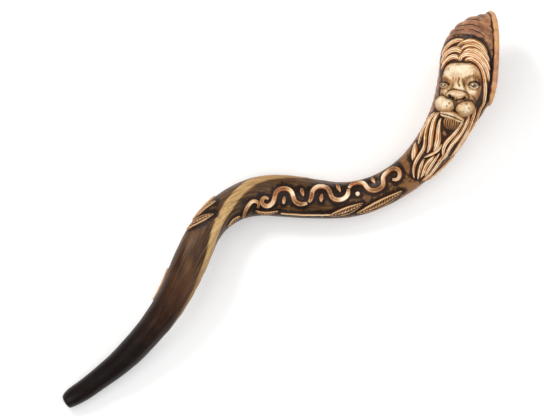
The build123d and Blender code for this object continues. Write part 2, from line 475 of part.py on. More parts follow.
with BuildPart() as face_mask:
    for y, x0, x1 in MASK:
        over, under = [], []
        for s in np.linspace(-1, 1, 15):
            x = (x0 + x1) / 2 + s * (x1 - x0) / 2
            here, n = on_top(x, y)
            out = np.array([n[0], n[2]]) / np.linalg.norm([n[0], n[2]])
            top = np.array([here[0], here[2]]) + out * face_height(x, y, s)
            bed = np.array([here[0], here[2]]) - out * MASK_SINK
            over.append((top[0], -top[1]))
            under.append((bed[0], -bed[1]))
        # this plane's x is the row's X and its y is the row's -Z
        with BuildSketch(Plane(origin=(0, y, 0), x_dir=(1, 0, 0), z_dir=(0, 1, 0))):
            with BuildLine():
                Spline(over)
                Spline(under)
                Line(over[0], under[0])
                Line(over[-1], under[-1])
            make_face()
    loft()
save(face_mask.part, "face_mask")

# ---------------------------------------------------------------- nose, muzzle, lip and chin
for label, (line, widths, height) in FACE.items():
    sections = laid(line, widths, on_top, 2.6, 10, blunt=label in BLUNT)
    widest = max(s[3] for s in sections)
    with BuildPart() as feature:
        for here, n, along, half in sections:
            rise_here = (height + 1.0) * (half / widest) ** 0.6 / 2
            with BuildSketch(plane_at(here, n, along, height / 2 - 0.5 - (height / 2) * 0.25 * (1 - half / widest))):
                Ellipse(half, rise_here)
        loft()
    save(feature.part, label)

# ---------------------------------------------------------------- hair: crown and mane
for label, (line, widths, height) in LOCKS.items():
    with BuildPart() as lock:
        for here, n, along, half in laid(line, widths, on_top):
            tall = (height + SINK) * min(1, 0.45 + half / 4.0) / 2
            with BuildSketch(plane_at(here, n, along, tall - SINK)):
                Ellipse(half, tall)
        loft()
    save(lock.part, label)

# ---------------------------------------------------------------- flat ribbons
for label, (line, widths, height) in RIBBONS.items():
    with BuildPart() as ribbon:
        for here, n, along, half in laid(line, widths, on_top, 3.8, 22):
            with BuildSketch(plane_at(here, n, along, (height - SINK) / 2)):
                RectangleRounded(2 * half, height + SINK, min(half, 0.5 * (height + SINK)) * 0.62)
        loft()
    save(ribbon.part, label)

# ---------------------------------------------------------------- leaves and stems
for label, (line, widths, height) in LEAVES.items():
    with BuildPart() as leaf:
        for here, n, along, half in laid(line, widths, on_top, 4.0):
            tall = (height + SINK) * min(1, 0.5 + half / 4.0) / 2
            with BuildSketch(plane_at(here, n, along, tall - SINK)):
                Ellipse(half, tall)
        loft()
    save(leaf.part, label)

# ---------------------------------------------------------------- locks, leaves and a stem round the back
for label, (line, widths, height) in BACK.items():
    # degrees are scaled so that a step of one station and of 40 degrees weigh alike along the line
    line = [(k, d / 40) for k, d in line]
    with BuildPart() as behind:
        for here, n, along, half in laid(line, widths, lambda k, d: round_skin(k, d * 40), 6.0):
            tall = (height + SINK) * min(1, 0.45 + half / 4.0) / 2
            with BuildSketch(plane_at(here, n, along, tall - SINK)):
                Ellipse(half, tall)
        loft()
    save(behind.part, label)

# ---------------------------------------------------------------- eyes and bead
for label, (x, y, radius, lift) in BALLS.items():
    here, n = on_top(x, y)
    with BuildPart() as ball:
        with Locations(tuple(here + n * lift)):
            Sphere(radius)
    save(ball.part, label)
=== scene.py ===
import math

import bpy
import numpy as np
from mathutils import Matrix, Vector, kdtree
from mathutils.bvhtree import BVHTree
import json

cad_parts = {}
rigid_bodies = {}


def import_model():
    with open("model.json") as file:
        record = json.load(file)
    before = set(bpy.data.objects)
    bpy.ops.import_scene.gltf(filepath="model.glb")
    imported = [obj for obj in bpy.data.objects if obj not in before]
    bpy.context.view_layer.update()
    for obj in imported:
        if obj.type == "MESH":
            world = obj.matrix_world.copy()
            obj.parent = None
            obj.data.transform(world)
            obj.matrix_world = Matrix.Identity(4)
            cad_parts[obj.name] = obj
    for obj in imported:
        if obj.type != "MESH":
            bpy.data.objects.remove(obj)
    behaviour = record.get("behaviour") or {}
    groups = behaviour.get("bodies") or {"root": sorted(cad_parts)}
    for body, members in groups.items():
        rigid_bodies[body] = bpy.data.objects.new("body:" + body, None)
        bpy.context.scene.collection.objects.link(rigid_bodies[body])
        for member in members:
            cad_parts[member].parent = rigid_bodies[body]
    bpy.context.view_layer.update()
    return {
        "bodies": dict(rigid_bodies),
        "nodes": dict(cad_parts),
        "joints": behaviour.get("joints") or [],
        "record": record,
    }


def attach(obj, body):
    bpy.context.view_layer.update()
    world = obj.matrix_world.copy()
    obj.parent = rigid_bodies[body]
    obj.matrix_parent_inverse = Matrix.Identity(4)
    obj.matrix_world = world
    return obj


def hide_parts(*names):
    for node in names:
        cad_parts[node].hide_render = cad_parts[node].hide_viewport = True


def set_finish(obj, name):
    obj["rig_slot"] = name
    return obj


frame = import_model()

MM = 0.001

# ---------------------------------------------------------------- camera, straight above as the horn lies
camera_data = bpy.data.cameras.new("camera")
camera_data.sensor_width = 36.0
camera_data.lens = 400.0
camera_data.clip_start, camera_data.clip_end = 0.1, 60.0
camera = bpy.data.objects.new("camera", camera_data)
camera.location = (0.000235, -0.000157, 8.46)
camera.rotation_euler = (0.0, 0.0, 0.0)
bpy.context.scene.collection.objects.link(camera)
bpy.context.scene.camera = camera

# ---------------------------------------------------------------- sizes, millimetres, as in the CAD source
BORE_R, CUP_R, CUP_DEPTH = 3.5, 6.0, 11.0
CAVITY_START, CAVITY_START_R = 4, 4.4
RIM_ROLL_R, RIM_ROLL_INSET = 4.3, 1.2
SQUARENESS = 2.15
SINK = 1.3
MASK_LIFT = 2.2
RINGS, SPOKES = 560, 148

# The horn's sections, mouthpiece to bell. Each row: the two ends of the section's wide axis seen from above
# (x, y, x, y), the height of its middle, the half depth, where the horn's keel sits (degrees, 0 at the first end,
# 90 on top), how proud the keel is (share of the radius), the section's lean towards +X (degrees), the wall.
STATIONS = [
    ( -294.6,  -251.6,  -283.8,  -268.9,  9.76,  10.2,   200, 0.000,  0.0,  0.0),
    ( -290.3,  -245.8,  -277.5,  -266.3, 11.76,  12.1,   200, 0.002,  0.0,  0.0),
    ( -279.3,  -237.0,  -265.1,  -260.2, 15.36,  13.5,   199, 0.005,  0.0,  0.0),
    ( -256.0,  -218.9,  -238.5,  -242.4, 20.36,  14.4,   197, 0.013,  0.0,  0.0),
    ( -233.1,  -198.9,  -212.2,  -224.0, 26.86,  15.9,   195, 0.021,  0.0, 12.5),
    ( -212.7,  -177.5,  -187.0,  -202.7, 34.35,  17.3,   190, 0.044,  0.0, 10.5),
    ( -193.4,  -154.8,  -164.0,  -178.9, 42.45,  18.1,   185, 0.068,  0.0,  9.0),
    ( -176.4,  -130.9,  -142.4,  -153.8, 50.05,  19.5,   177, 0.087,  0.0,  8.0),
    ( -161.5,  -105.1,  -123.2,  -125.6, 56.25,  20.7,   167, 0.105,  0.0,  7.5),
    ( -149.9,   -77.7,  -107.5,   -97.0, 59.55,  22.1,   156, 0.119,  0.0,  7.0),
    ( -137.6,   -49.5,   -94.8,   -69.5, 58.85,  22.4,   145, 0.130,  0.0,  6.8),
    ( -121.8,   -20.4,   -83.5,   -42.5, 53.05,  20.8,   122, 0.137,  0.0,  6.6),
    (  -97.9,     8.7,   -68.9,   -24.0, 42.75,  20.1,    97, 0.140,  0.0,  6.4),
    (  -67.2,    31.5,   -48.9,   -12.2, 31.16,  21.3,    67, 0.140,  0.0,  6.2),
    (  -32.5,    45.0,   -25.7,    -7.8, 24.66,  23.7,    39, 0.130,  0.0,  6.0),
    (    2.9,    47.6,    -0.3,    -9.1, 25.46,  25.0,    17, 0.122,  0.0,  6.0),
    (   31.9,    44.6,    27.1,   -11.0, 26.55,  24.6,    -4, 0.116,  0.0,  6.0),
    (   60.3,    39.9,    63.1,   -11.8, 25.75,  22.8,   -28, 0.110,  0.0,  6.0),
    (   89.3,    37.9,    98.8,    -9.7, 23.36,  21.6,   -52, 0.110,  0.0,  5.9),
    (  117.7,    43.5,   131.8,    -0.2, 22.75,  20.7,   -76, 0.109,  0.0,  5.8),
    (  142.6,    55.4,   163.6,    15.2, 28.05,  20.9,   -99, 0.103,  0.0,  5.6),
    (  163.6,    72.0,   193.3,    35.2, 37.55,  22.5,  -119, 0.097,  0.0,  5.4),
    (  177.7,    88.9,   218.9,    57.0, 47.65,  25.3,  -135, 0.092,  0.0,  5.2),
    (  187.9,   104.4,   237.8,    76.1, 55.75,  29.4,  -147, 0.083,  0.0,  5.0),
    (  196.4,   120.6,   253.3,    97.0, 61.85,  30.9,  -159, 0.071,  0.0,  4.8),
    (  203.1,   136.8,   264.1,   113.9, 65.95,  32.5,  -170, 0.060,  0.0,  4.6),
    (  208.4,   154.4,   271.0,   125.1, 68.66,  34.0,  -176, 0.054,  0.0,  4.4),
    (  212.2,   173.3,   274.7,   131.4, 69.76,  34.6,  -181, 0.049,  2.0,  4.3),
    (  214.6,   192.2,   276.7,   134.9, 70.45,  35.2,  -185, 0.045,  4.0,  4.2),
    (  217.0,   211.1,   277.9,   137.0, 70.56,  35.8,  -189, 0.041,  6.5,  4.1),
    (  223.4,   229.0,   278.6,   138.2, 70.66,  36.2,  -192, 0.039,  9.0,  4.0),
    (  234.8,   245.1,   279.0,   138.9, 70.76,  36.5,  -194, 0.037, 11.5,  4.0),
    (  253.3,   258.2,   279.1,   139.3, 70.76,  36.6,  -197, 0.035, 13.5,  4.0),
    (  283.7,   265.9,   279.1,   139.7, 70.76,  36.7,  -200, 0.032, 15.0,  4.0),
]

# Locks of hair: (line on the horn seen from above, half widths along it, height)
LOCKS = {
    "crown_left_outer": ([(247.3, 227.7), (239.9, 227.5), (232.6, 225.4), (226.6, 220.4), (221.9, 213.1), (219.7, 205.0)],
        [2.2, 3.0, 3.1, 3.0, 2.6, 1.2], 2.6),
    "crown_left_mid": ([(244.6, 211.5), (239.7, 214.8), (232.6, 215.0), (226.0, 210.7), (221.5, 204.0), (218.9, 195.6)],
        [2.8, 3.6, 3.5, 3.1, 2.6, 1.2], 3.0),
    "crown_left_inner": ([(240.8, 202.6), (237.0, 205.9), (231.6, 205.9), (226.0, 202.3), (221.5, 196.4), (218.7, 188.2)],
        [2.2, 2.8, 3.0, 2.7, 2.3, 1.1], 2.6),
    "crown_right_1": ([(237.8, 218.1), (243.1, 222.9), (250.1, 226.1), (258.2, 227.0), (266.2, 224.2), (272.9, 218.4), (278.7, 209.8)],
        [1.1, 2.0, 2.6, 2.7, 2.6, 2.2, 1.1], 2.6),
    "crown_right_2": ([(242.6, 214.1), (248.1, 218.8), (255.9, 221.0), (263.5, 220.6), (270.8, 216.0), (277.0, 208.3), (281.0, 199.0)],
        [1.1, 2.0, 2.4, 2.4, 2.3, 2.0, 1.1], 2.6),
    "crown_right_3": ([(245.7, 209.9), (251.1, 214.0), (258.1, 215.0), (265.1, 212.6), (272.1, 206.7), (278.1, 198.0), (281.7, 187.5)],
        [1.2, 2.4, 2.8, 2.8, 2.7, 2.3, 1.1], 2.6),
    "crown_right_4": ([(241.6, 199.9), (243.9, 205.6), (249.3, 208.8), (256.7, 209.1), (264.3, 205.9), (270.8, 199.8), (276.4, 192.1), (279.8, 182.8), (280.6, 172.6)],
        [1.6, 2.8, 3.2, 3.2, 3.1, 2.8, 2.6, 2.0, 1.1], 2.6),
    "crown_right_5": ([(249.0, 199.8), (252.4, 203.2), (257.8, 202.7), (263.9, 199.5), (268.9, 194.4), (272.8, 186.8), (275.0, 177.4), (276.2, 167.2), (275.9, 156.4), (274.3, 146.3), (271.3, 136.9)],
        [2.0, 2.6, 2.7, 2.6, 2.4, 2.3, 2.3, 2.3, 2.2, 1.9, 1.1], 2.8),
    "mane_left_1": ([(214.8, 131.3), (209.5, 122.6), (206.0, 112.2), (204.5, 103.5), (203.1, 93.3), (202.3, 84.6), (198.8, 77.3)],
        [1.2, 2.7, 3.5, 3.5, 3.2, 2.7, 1.1], 3.3),
    "mane_left_2": ([(216.8, 123.4), (214.6, 113.2), (213.3, 103.8), (212.7, 94.3), (211.1, 86.2), (207.5, 79.5)],
        [1.2, 2.4, 3.2, 3.9, 3.4, 1.2], 3.3),
    "mane_left_3": ([(217.6, 88.7), (214.3, 81.9), (208.1, 77.1), (201.1, 73.7), (194.5, 71.3)],
        [0.9, 1.8, 1.9, 1.6, 0.8], 2.7),
    "mane_left_4": ([(212.2, 131.5), (204.4, 122.7), (199.8, 112.6), (197.2, 103.8), (196.3, 94.3), (195.2, 85.6), (190.4, 76.5), (184.9, 68.0), (181.5, 59.2), (180.5, 49.8), (181.5, 43.0)],
        [0.9, 1.9, 2.2, 2.3, 2.4, 2.4, 2.4, 2.3, 2.0, 1.6, 0.8], 2.7),
    "mane_left_5": ([(208.9, 131.5), (201.4, 121.6), (196.3, 111.9), (192.1, 103.0), (189.5, 94.3), (187.3, 88.3)],
        [0.9, 1.9, 2.2, 2.2, 1.8, 0.8], 2.7),
    "mane_left_6": ([(183.8, 91.0), (183.0, 83.5), (181.1, 75.4), (179.4, 66.7)],
        [1.1, 4.1, 4.3, 1.1], 2.6),
    "mane_left_8": ([(195.0, 69.2), (191.5, 62.2), (189.0, 55.3), (187.2, 47.8), (186.5, 42.0)],
        [0.8, 2.2, 2.3, 1.9, 0.8], 2.7),
    "mane_left_9": ([(208.9, 73.4), (201.8, 66.8), (196.4, 59.6), (193.6, 51.0), (190.4, 43.6)],
        [0.9, 2.6, 2.7, 2.2, 0.8], 2.7),
    "mane_right_1": ([(247.3, 124.7), (243.9, 117.3), (238.5, 108.5), (232.4, 100.4), (225.4, 93.0), (221.0, 85.6), (219.5, 78.1), (219.6, 71.4)],
        [0.9, 2.0, 2.4, 2.6, 2.7, 2.6, 2.0, 0.8], 2.7),
    "mane_right_2": ([(254.7, 130.1), (252.0, 121.3), (247.0, 110.5), (240.4, 99.6), (232.6, 90.7), (226.9, 82.7), (223.5, 74.6), (218.9, 66.7)],
        [1.1, 2.6, 3.1, 3.2, 3.0, 2.6, 2.2, 0.9], 3.1),
    "mane_right_3": ([(262.8, 138.9), (260.8, 130.1), (257.3, 119.3), (252.1, 107.4), (245.4, 95.7), (239.5, 86.2), (233.8, 77.9), (228.9, 70.7)],
        [1.1, 2.2, 2.7, 3.0, 3.1, 2.8, 2.2, 0.9], 2.7),
    "mane_right_4": ([(271.9, 141.6), (268.1, 133.5), (264.3, 123.8), (258.8, 112.4), (251.9, 101.1), (245.7, 91.1), (239.7, 82.5), (233.8, 74.6)],
        [1.1, 1.8, 2.2, 2.3, 2.3, 2.2, 1.9, 0.9], 2.7),
    "mane_low_1": ([(225.0, 77.5), (217.6, 69.0), (212.0, 61.1), (205.2, 52.0), (197.9, 44.7), (191.1, 39.3)],
        [1.1, 2.7, 3.1, 3.1, 2.6, 0.9], 2.7),
    "mane_low_2": ([(235.7, 75.7), (226.5, 66.0), (216.8, 56.0), (206.8, 47.4), (197.1, 40.3)],
        [0.9, 2.2, 2.4, 2.2, 0.9], 2.7),
    "mane_low_3": ([(214.9, 76.5), (208.5, 67.3), (203.3, 59.4), (199.0, 52.5), (194.9, 46.3)],
        [0.9, 2.0, 2.3, 1.9, 0.8], 2.7),
}
# Flat clay ribbons: the same
RIBBONS = {
    "ribbon_1": ([(-15.4, 14.7), (-19.5, 16.9), (-23.8, 13.9), (-23.3, 8.2), (-16.8, 5.4), (-10.0, 9.0), (-6.9, 17.0), (-4.4, 24.5), (3.5, 28.5), (13.1, 26.9), (17.6, 20.4), (19.8, 12.8), (26.9, 8.1), (36.9, 9.2)],
        [1.5, 2.4, 3.0, 3.2, 3.4, 3.4, 3.4, 3.4, 3.4, 3.4, 3.4, 3.4, 3.4, 2.0], 2.4),
    "ribbon_2": ([(39.1, 10.5), (42.7, 16.7), (43.8, 24.0), (48.4, 29.4), (57.2, 31.3), (64.8, 28.4), (67.9, 22.0), (71.4, 15.7), (79.6, 13.5), (88.3, 16.4), (92.3, 22.1), (92.7, 28.1)],
        [2.0, 3.4, 3.4, 3.4, 3.4, 3.4, 3.4, 3.4, 3.4, 3.4, 3.4, 2.0], 2.4),
    "ribbon_3": ([(93.1, 29.7), (98.7, 34.3), (108.6, 36.3), (115.1, 34.2), (118.5, 29.3), (125.0, 26.1), (134.7, 28.3), (140.6, 35.0), (139.7, 42.6), (144.7, 49.8), (152.5, 55.2), (160.1, 54.4), (162.8, 47.6), (158.7, 41.2), (152.5, 41.2)],
        [2.0, 3.4, 3.4, 3.4, 3.4, 3.4, 3.4, 3.4, 3.4, 3.4, 3.4, 3.2, 3.0, 2.6, 1.8], 2.4),
    "drop_1": ([(5.0, 8.3), (5.6, 11.8), (6.1, 15.3), (6.6, 18.3)],
        [0.9, 2.6, 2.2, 0.8], 2.4),
    "drop_2": ([(31.9, 18.4), (30.8, 22.0), (29.6, 25.6), (28.6, 28.7)],
        [0.8, 2.4, 2.8, 0.9], 2.4),
    "drop_3": ([(55.4, 10.9), (55.8, 14.7), (56.3, 18.5), (56.7, 21.7)],
        [0.9, 2.8, 2.4, 0.8], 2.4),
    "drop_4": ([(81.5, 24.1), (80.0, 27.5), (78.4, 30.8), (77.1, 33.7)],
        [0.8, 2.4, 2.8, 0.9], 2.4),
    "drop_5": ([(129.1, 35.7), (127.5, 38.1), (125.9, 40.6), (124.5, 42.7)],
        [0.8, 2.2, 2.6, 0.9], 2.4),
    "tendril_curl": ([(-50.4, -11.0), (-47.3, -1.8), (-42.2, 7.1), (-34.6, 12.3), (-28.7, 8.8), (-30.0, 2.5)],
        [1.2, 2.6, 2.7, 2.6, 2.2, 1.4], 2.2),
}
# Leaves and their stem: the same
LEAVES = {
    "leaf_front_low": ([(66.4, -7.2), (78.5, -4.7), (94.7, 0.4), (112.3, 9.3)],
        [0.7, 4.7, 5.5, 0.7], 1.9),
    "leaf_front_high": ([(104.2, -3.7), (121.7, 1.7), (142.7, 11.5), (164.9, 25.8)],
        [0.7, 5.8, 6.6, 0.7], 1.9),
    "leaf_bend_outer": ([(-124.6, -27.2), (-116.5, -19.1), (-104.4, -11.8), (-89.5, -5.6)],
        [0.7, 4.3, 4.7, 0.7], 1.9),
    "leaf_bend_inner": ([(-110.5, -8.3), (-104.8, -0.7), (-96.7, 6.1), (-86.8, 11.2)],
        [0.7, 3.4, 3.4, 0.7], 1.9),
    "leaflet_left": ([(-70.5, -22.2), (-63.5, -14.5), (-54.4, -8.5)],
        [0.7, 2.8, 0.7], 1.9),
    "leaflet_mid": ([(-32.8, -1.0), (-24.1, -3.7), (-13.3, -3.7), (-2.5, -1.4)],
        [0.7, 2.3, 2.2, 0.7], 1.9),
    "vine_front": ([(1.6, -4.5), (16.4, -5.8), (34.0, -6.6), (51.5, -6.9), (69.1, -6.4)],
        [1.1, 1.5, 1.6, 1.5, 1.1], 1.6),
}
BLUNT = ("nose", "muzzle_left", "muzzle_right")  # features with round ends
# The lion's features that stand on its face: the same
FACE = {
    "nose": ([(224.9, 153.2), (230.5, 154.8), (238.9, 154.3), (246.7, 152.7), (252.7, 150.2)],
        [1.6, 5.7, 7.6, 5.9, 1.8], 9.5),
    "muzzle_left": ([(211.2, 144.3), (213.0, 143.9), (217.6, 142.9), (223.4, 141.7), (229.2, 140.5), (233.8, 139.4), (235.7, 139.0)],
        [1.8, 6.2, 9.5, 10.4, 9.5, 6.2, 1.8], 8.5),
    "muzzle_right": ([(236.2, 133.2), (238.2, 133.8), (243.0, 135.1), (248.6, 136.6), (254.3, 138.2), (258.9, 139.4), (260.8, 140.0)],
        [1.8, 6.2, 9.5, 10.5, 9.5, 6.2, 1.8], 9.5),
    "lower_lip": ([(217.4, 130.0), (223.7, 128.9), (231.1, 127.0), (238.9, 123.5), (245.7, 120.3)],
        [1.4, 3.6, 4.2, 3.8, 1.5], 6.0),
    "chin_tuft": ([(231.4, 124.0), (230.8, 118.6), (230.3, 112.6), (229.5, 105.8)],
        [5.7, 8.4, 7.3, 2.2], 5.0),
}
# Pieces round the back: (line as (station, degrees round the section), half widths, height)
BACK = {
    "back_vine": ([(7.20, -24), (8.20, -34), (9.30, -40), (10.40, -36), (11.40, -30), (12.20, -24)],
        [1.1, 1.5, 1.6, 1.6, 1.5, 1.1], 2.0),
    "back_leaf_1": ([(11.25, -14), (11.62, -8), (12.00, -6), (12.40, -10)],
        [0.7, 3.9, 3.9, 0.7], 1.9),
    "back_leaf_2": ([(7.55, -16), (7.95, -9), (8.35, -8), (8.80, -14)],
        [0.7, 4.1, 4.1, 0.7], 1.9),
    "back_mane_1": ([(25.60, -30), (24.70, -34), (23.80, -38), (22.70, -36), (21.90, -28)],
        [1.2, 3.5, 3.6, 3.0, 0.9], 2.8),
    "back_mane_2": ([(26.60, -58), (25.40, -62), (24.20, -66), (23.00, -66), (21.90, -58)],
        [1.2, 4.1, 4.3, 3.5, 0.9], 2.9),
    "back_mane_3": ([(27.30, -88), (26.00, -92), (24.60, -95), (23.20, -94), (22.00, -86)],
        [1.2, 4.3, 4.6, 3.8, 0.9], 3.0),
    "back_mane_4": ([(26.60, -120), (25.40, -122), (24.20, -124), (23.00, -122), (21.80, -112)],
        [1.2, 4.1, 4.3, 3.5, 0.9], 2.9),
    "back_mane_5": ([(26.20, -150), (25.20, -150), (24.20, -150), (23.00, -149), (22.00, -142)],
        [1.1, 3.0, 3.2, 2.7, 0.9], 2.6),
}
# Balls: x, y, radius, how far the centre stands over the horn's skin
BALLS = {
    "eye_left": (221.5, 167.0, 4.2, 1.6),
    "eye_right": (260.5, 167.4, 4.3, 1.6),
    "bead": (105.3, 21.4, 3.2, 1.2),
}
# The lion's face, brow to lip: y of a cut, x where the face starts and ends there
MASK = [
    (197.6, 229.7, 255.4),
    (193.6, 224.3, 262.8),
    (188.2, 221.1, 267.5),
    (180.7, 218.9, 270.5),
    (172.6, 217.6, 271.6),
    (164.5, 216.5, 271.3),
    (156.4, 215.4, 269.7),
    (148.3, 214.6, 265.6),
    (140.2, 216.2, 259.4),
    (133.5, 221.0, 251.3),
]
# Swellings and hollows of the face: x, y, spread in x, spread in y, height
BUMPS = [
    (242.6, 187.5, 14.9, 9.5, 1.2),
    (241.3, 175.3, 4.9, 9.5, 2.2),
    (240.0, 163.2, 6.2, 8.1, 3.6),
    (222.3, 174.9, 7.4, 3.5, 1.6),
    (260.8, 176.7, 8.1, 3.5, 1.8),
    (221.9, 167.0, 6.2, 4.3, -1.9),
    (260.5, 167.0, 7.3, 5.1, -2.1),
    (218.3, 155.1, 5.4, 6.8, 1.2),
    (262.8, 154.4, 6.8, 6.8, 1.4),
    (236.5, 142.9, 12.2, 8.1, 2.2),
]


# ---------------------------------------------------------------- smooth value noise from a fixed random table, the same each run
def lattice(seed):
    return np.random.default_rng(seed).uniform(-1, 1, 4096)


TABLE = lattice(7)


def noise1(x, seed=0):
    """Smooth value noise of one number."""
    x = np.asarray(x, float)
    i = np.floor(x).astype(int)
    f = x - i
    f = f * f * (3 - 2 * f)
    return TABLE[(i * 31 + seed * 97) % 4096] * (1 - f) + TABLE[((i + 1) * 31 + seed * 97) % 4096] * f


def noise2(x, y, seed=0):
    """Smooth value noise of two numbers."""
    x, y = np.asarray(x, float), np.asarray(y, float)
    i, j = np.floor(x).astype(int), np.floor(y).astype(int)
    f, g = x - i, y - j
    f, g = f * f * (3 - 2 * f), g * g * (3 - 2 * g)

    def at(a, b):
        return TABLE[(a * 157 + b * 311 + seed * 71) % 4096]

    return (at(i, j) * (1 - f) + at(i + 1, j) * f) * (1 - g) + (at(i, j + 1) * (1 - f) + at(i + 1, j + 1) * f) * g


# ---------------------------------------------------------------- the horn's surface
def natural_spline(t, y):
    """Natural cubic spline through rows y at the knots t."""
    t, y = np.asarray(t, float), np.asarray(y, float)
    n, h = len(t), np.diff(np.asarray(t, float))
    left, right = np.zeros((n, n)), np.zeros(y.shape)
    left[0, 0] = left[-1, -1] = 1
    for i in range(1, n - 1):
        left[i, i - 1], left[i, i], left[i, i + 1] = h[i - 1], 2 * (h[i - 1] + h[i]), h[i]
        right[i] = 6 * ((y[i + 1] - y[i]) / h[i] - (y[i] - y[i - 1]) / h[i - 1])
    m = np.linalg.solve(left, right)

    def at(x):
        x = np.atleast_1d(np.asarray(x, float))
        k = np.clip(np.searchsorted(t, x, side="right") - 1, 0, n - 2)
        d, hk = (x - t[k])[:, None], h[k][:, None]
        slope = (y[k + 1] - y[k]) / hk - hk * (2 * m[k] + m[k + 1]) / 6
        return y[k] + d * slope + d**2 * m[k] / 2 + d**3 * (m[k + 1] - m[k]) / (6 * hk)

    return at


ROWS = np.array(STATIONS, float)
MIDDLES = np.column_stack([(ROWS[:, 0] + ROWS[:, 2]) / 2, (ROWS[:, 1] + ROWS[:, 3]) / 2, ROWS[:, 4]])
REACH = np.concatenate([[0], np.cumsum(np.linalg.norm(np.diff(MIDDLES, axis=0), axis=1))])
HORN = natural_spline(REACH, ROWS)
LENGTH = float(REACH[-1])


def station_reach(k):
    """Distance along the horn of station k, which may be a fraction."""
    return float(np.interp(k, range(len(REACH)), REACH))


def frame(u):
    """Middle, wide axis, deep axis, normal, half width, half depth, keel place, keel rise and wall at distance u."""
    v, a, b = HORN(u)[0], HORN(max(u - 0.5, 0))[0], HORN(min(u + 0.5, LENGTH))[0]
    middle = np.array([(v[0] + v[2]) / 2, (v[1] + v[3]) / 2, v[4]])
    along = np.array([b[0] + b[2] - a[0] - a[2], b[1] + b[3] - a[1] - a[3], 2 * (b[4] - a[4])])
    along /= np.linalg.norm(along)
    wide = np.array([v[0] - v[2], v[1] - v[3], 0.0])
    half = np.linalg.norm(wide) / 2
    wide /= 2 * half
    normal = along - (along @ wide) * wide
    normal /= np.linalg.norm(normal)
    deep = np.cross(normal, wide)
    lean = math.radians(max(v[8], 0))
    deep = math.cos(lean) * deep + math.sin(lean) * normal
    normal = np.cross(wide, deep)
    keel = np.interp(u, REACH, ROWS[:, 6])
    rise = np.interp(u, REACH, ROWS[:, 7])
    wall = np.interp(u, REACH, ROWS[:, 9])
    return middle, wide, deep, normal, half, v[5], keel, rise, wall


def spread(start, count):
    """Distances along the horn for this many sections, closer together where the horn turns sharply."""
    u = np.linspace(start, LENGTH, 800)
    v = HORN(u)
    one, other = (np.linalg.norm(np.diff(v[:, i : i + 2], axis=0), axis=1) for i in (0, 2))
    step = np.maximum(np.maximum(one, other), np.diff(u))
    way = np.concatenate([[0], np.cumsum(step)])
    return np.interp(np.linspace(0, way[-1], count), way, u)


def outline(keel, rise, degrees):
    """The section's outline for unit half axes: an oval with a keel and slightly hollow flanks beside it."""
    t = np.radians(degrees)
    off = np.abs((t - math.radians(keel) + math.pi) % (2 * math.pi) - math.pi)
    grow = 1 + rise * (np.exp(-((off / 0.42) ** 2)) - 0.35 * np.exp(-(((off - 1.0) / 0.45) ** 2)))
    x = grow * np.sign(np.cos(t)) * np.abs(np.cos(t)) ** (2 / SQUARENESS)
    y = grow * np.sign(np.sin(t)) * np.abs(np.sin(t)) ** (2 / SQUARENESS)
    fine = np.radians(np.arange(0, 360, 2.0))
    off = np.abs((fine - math.radians(keel) + math.pi) % (2 * math.pi) - math.pi)
    full = (1 + rise * (np.exp(-((off / 0.42) ** 2)) - 0.35 * np.exp(-(((off - 1.0) / 0.45) ** 2)))) * np.sign(
        np.cos(fine)
    ) * np.abs(np.cos(fine)) ** (2 / SQUARENESS)
    hi, lo = full.max(), full.min()
    return (x - (hi + lo) / 2) / ((hi - lo) / 2), y


def skin_grid(rings=420, spokes=96):
    """Points of the horn's outer skin, and outward normals."""
    points = []
    for u in np.linspace(0, LENGTH, rings):
        middle, wide, deep, _, half, depth, keel, rise, _ = frame(u)
        x, y = outline(keel, rise, np.arange(spokes) * 360.0 / spokes)
        points.append(middle + np.outer(x * half, wide) + np.outer(y * depth, deep))
    points = np.array(points)
    down = np.gradient(points, axis=0)
    round_ = (np.roll(points, -1, axis=1) - np.roll(points, 1, axis=1)) / 2
    normals = np.cross(round_, down)
    normals /= np.linalg.norm(normals, axis=2)[:, :, None]
    return points, normals


def round_skin(k, degrees):
    """The skin's point and normal at station k and this many degrees round the section."""
    u, e = station_reach(k), 0.4

    def at(u, d):
        middle, wide, deep, _, half, depth, keel, rise, _ = frame(u)
        x, y = outline(keel, rise, np.array([d]))
        return middle + x[0] * half * wide + y[0] * depth * deep

    here = at(u, degrees)
    n = np.cross(at(u, degrees + 1) - at(u, degrees - 1), at(min(u + e, LENGTH), degrees) - at(max(u - e, 0), degrees))
    n /= np.linalg.norm(n)
    return here, n if n @ (here - frame(u)[0]) > 0 else -n


SKIN, NORMALS = skin_grid()
if ((NORMALS * (SKIN - SKIN.mean(axis=1, keepdims=True))).sum(axis=2)).mean() < 0:
    NORMALS = -NORMALS
GRID_R, GRID_S = SKIN.shape[:2]
FLAT, FLAT_N = SKIN.reshape(-1, 3), NORMALS.reshape(-1, 3)
SKIN_TRIS = []
for r in range(GRID_R - 1):
    for s in range(GRID_S):
        a, b = r * GRID_S + s, r * GRID_S + (s + 1) % GRID_S
        SKIN_TRIS.append((a, a + GRID_S, b + GRID_S))
        SKIN_TRIS.append((a, b + GRID_S, b))
TREE = BVHTree.FromPolygons([tuple(p) for p in FLAT], SKIN_TRIS, all_triangles=True)


def skin_normal(p, i):
    """The skin's smooth normal at a point of its triangle i."""
    a, b, c = (FLAT[k] for k in SKIN_TRIS[i])
    u, v, w = b - a, c - a, np.array(p) - a
    uu, uv, vv, wu, wv = u @ u, u @ v, v @ v, w @ u, w @ v
    d = uu * vv - uv * uv
    q, r = ((vv * wu - uv * wv) / d, (uu * wv - uv * wu) / d) if abs(d) > 1e-12 else (0.3, 0.3)
    n = sum(FLAT_N[k] * t for k, t in zip(SKIN_TRIS[i], (1 - q - r, q, r)))
    return n / np.linalg.norm(n)


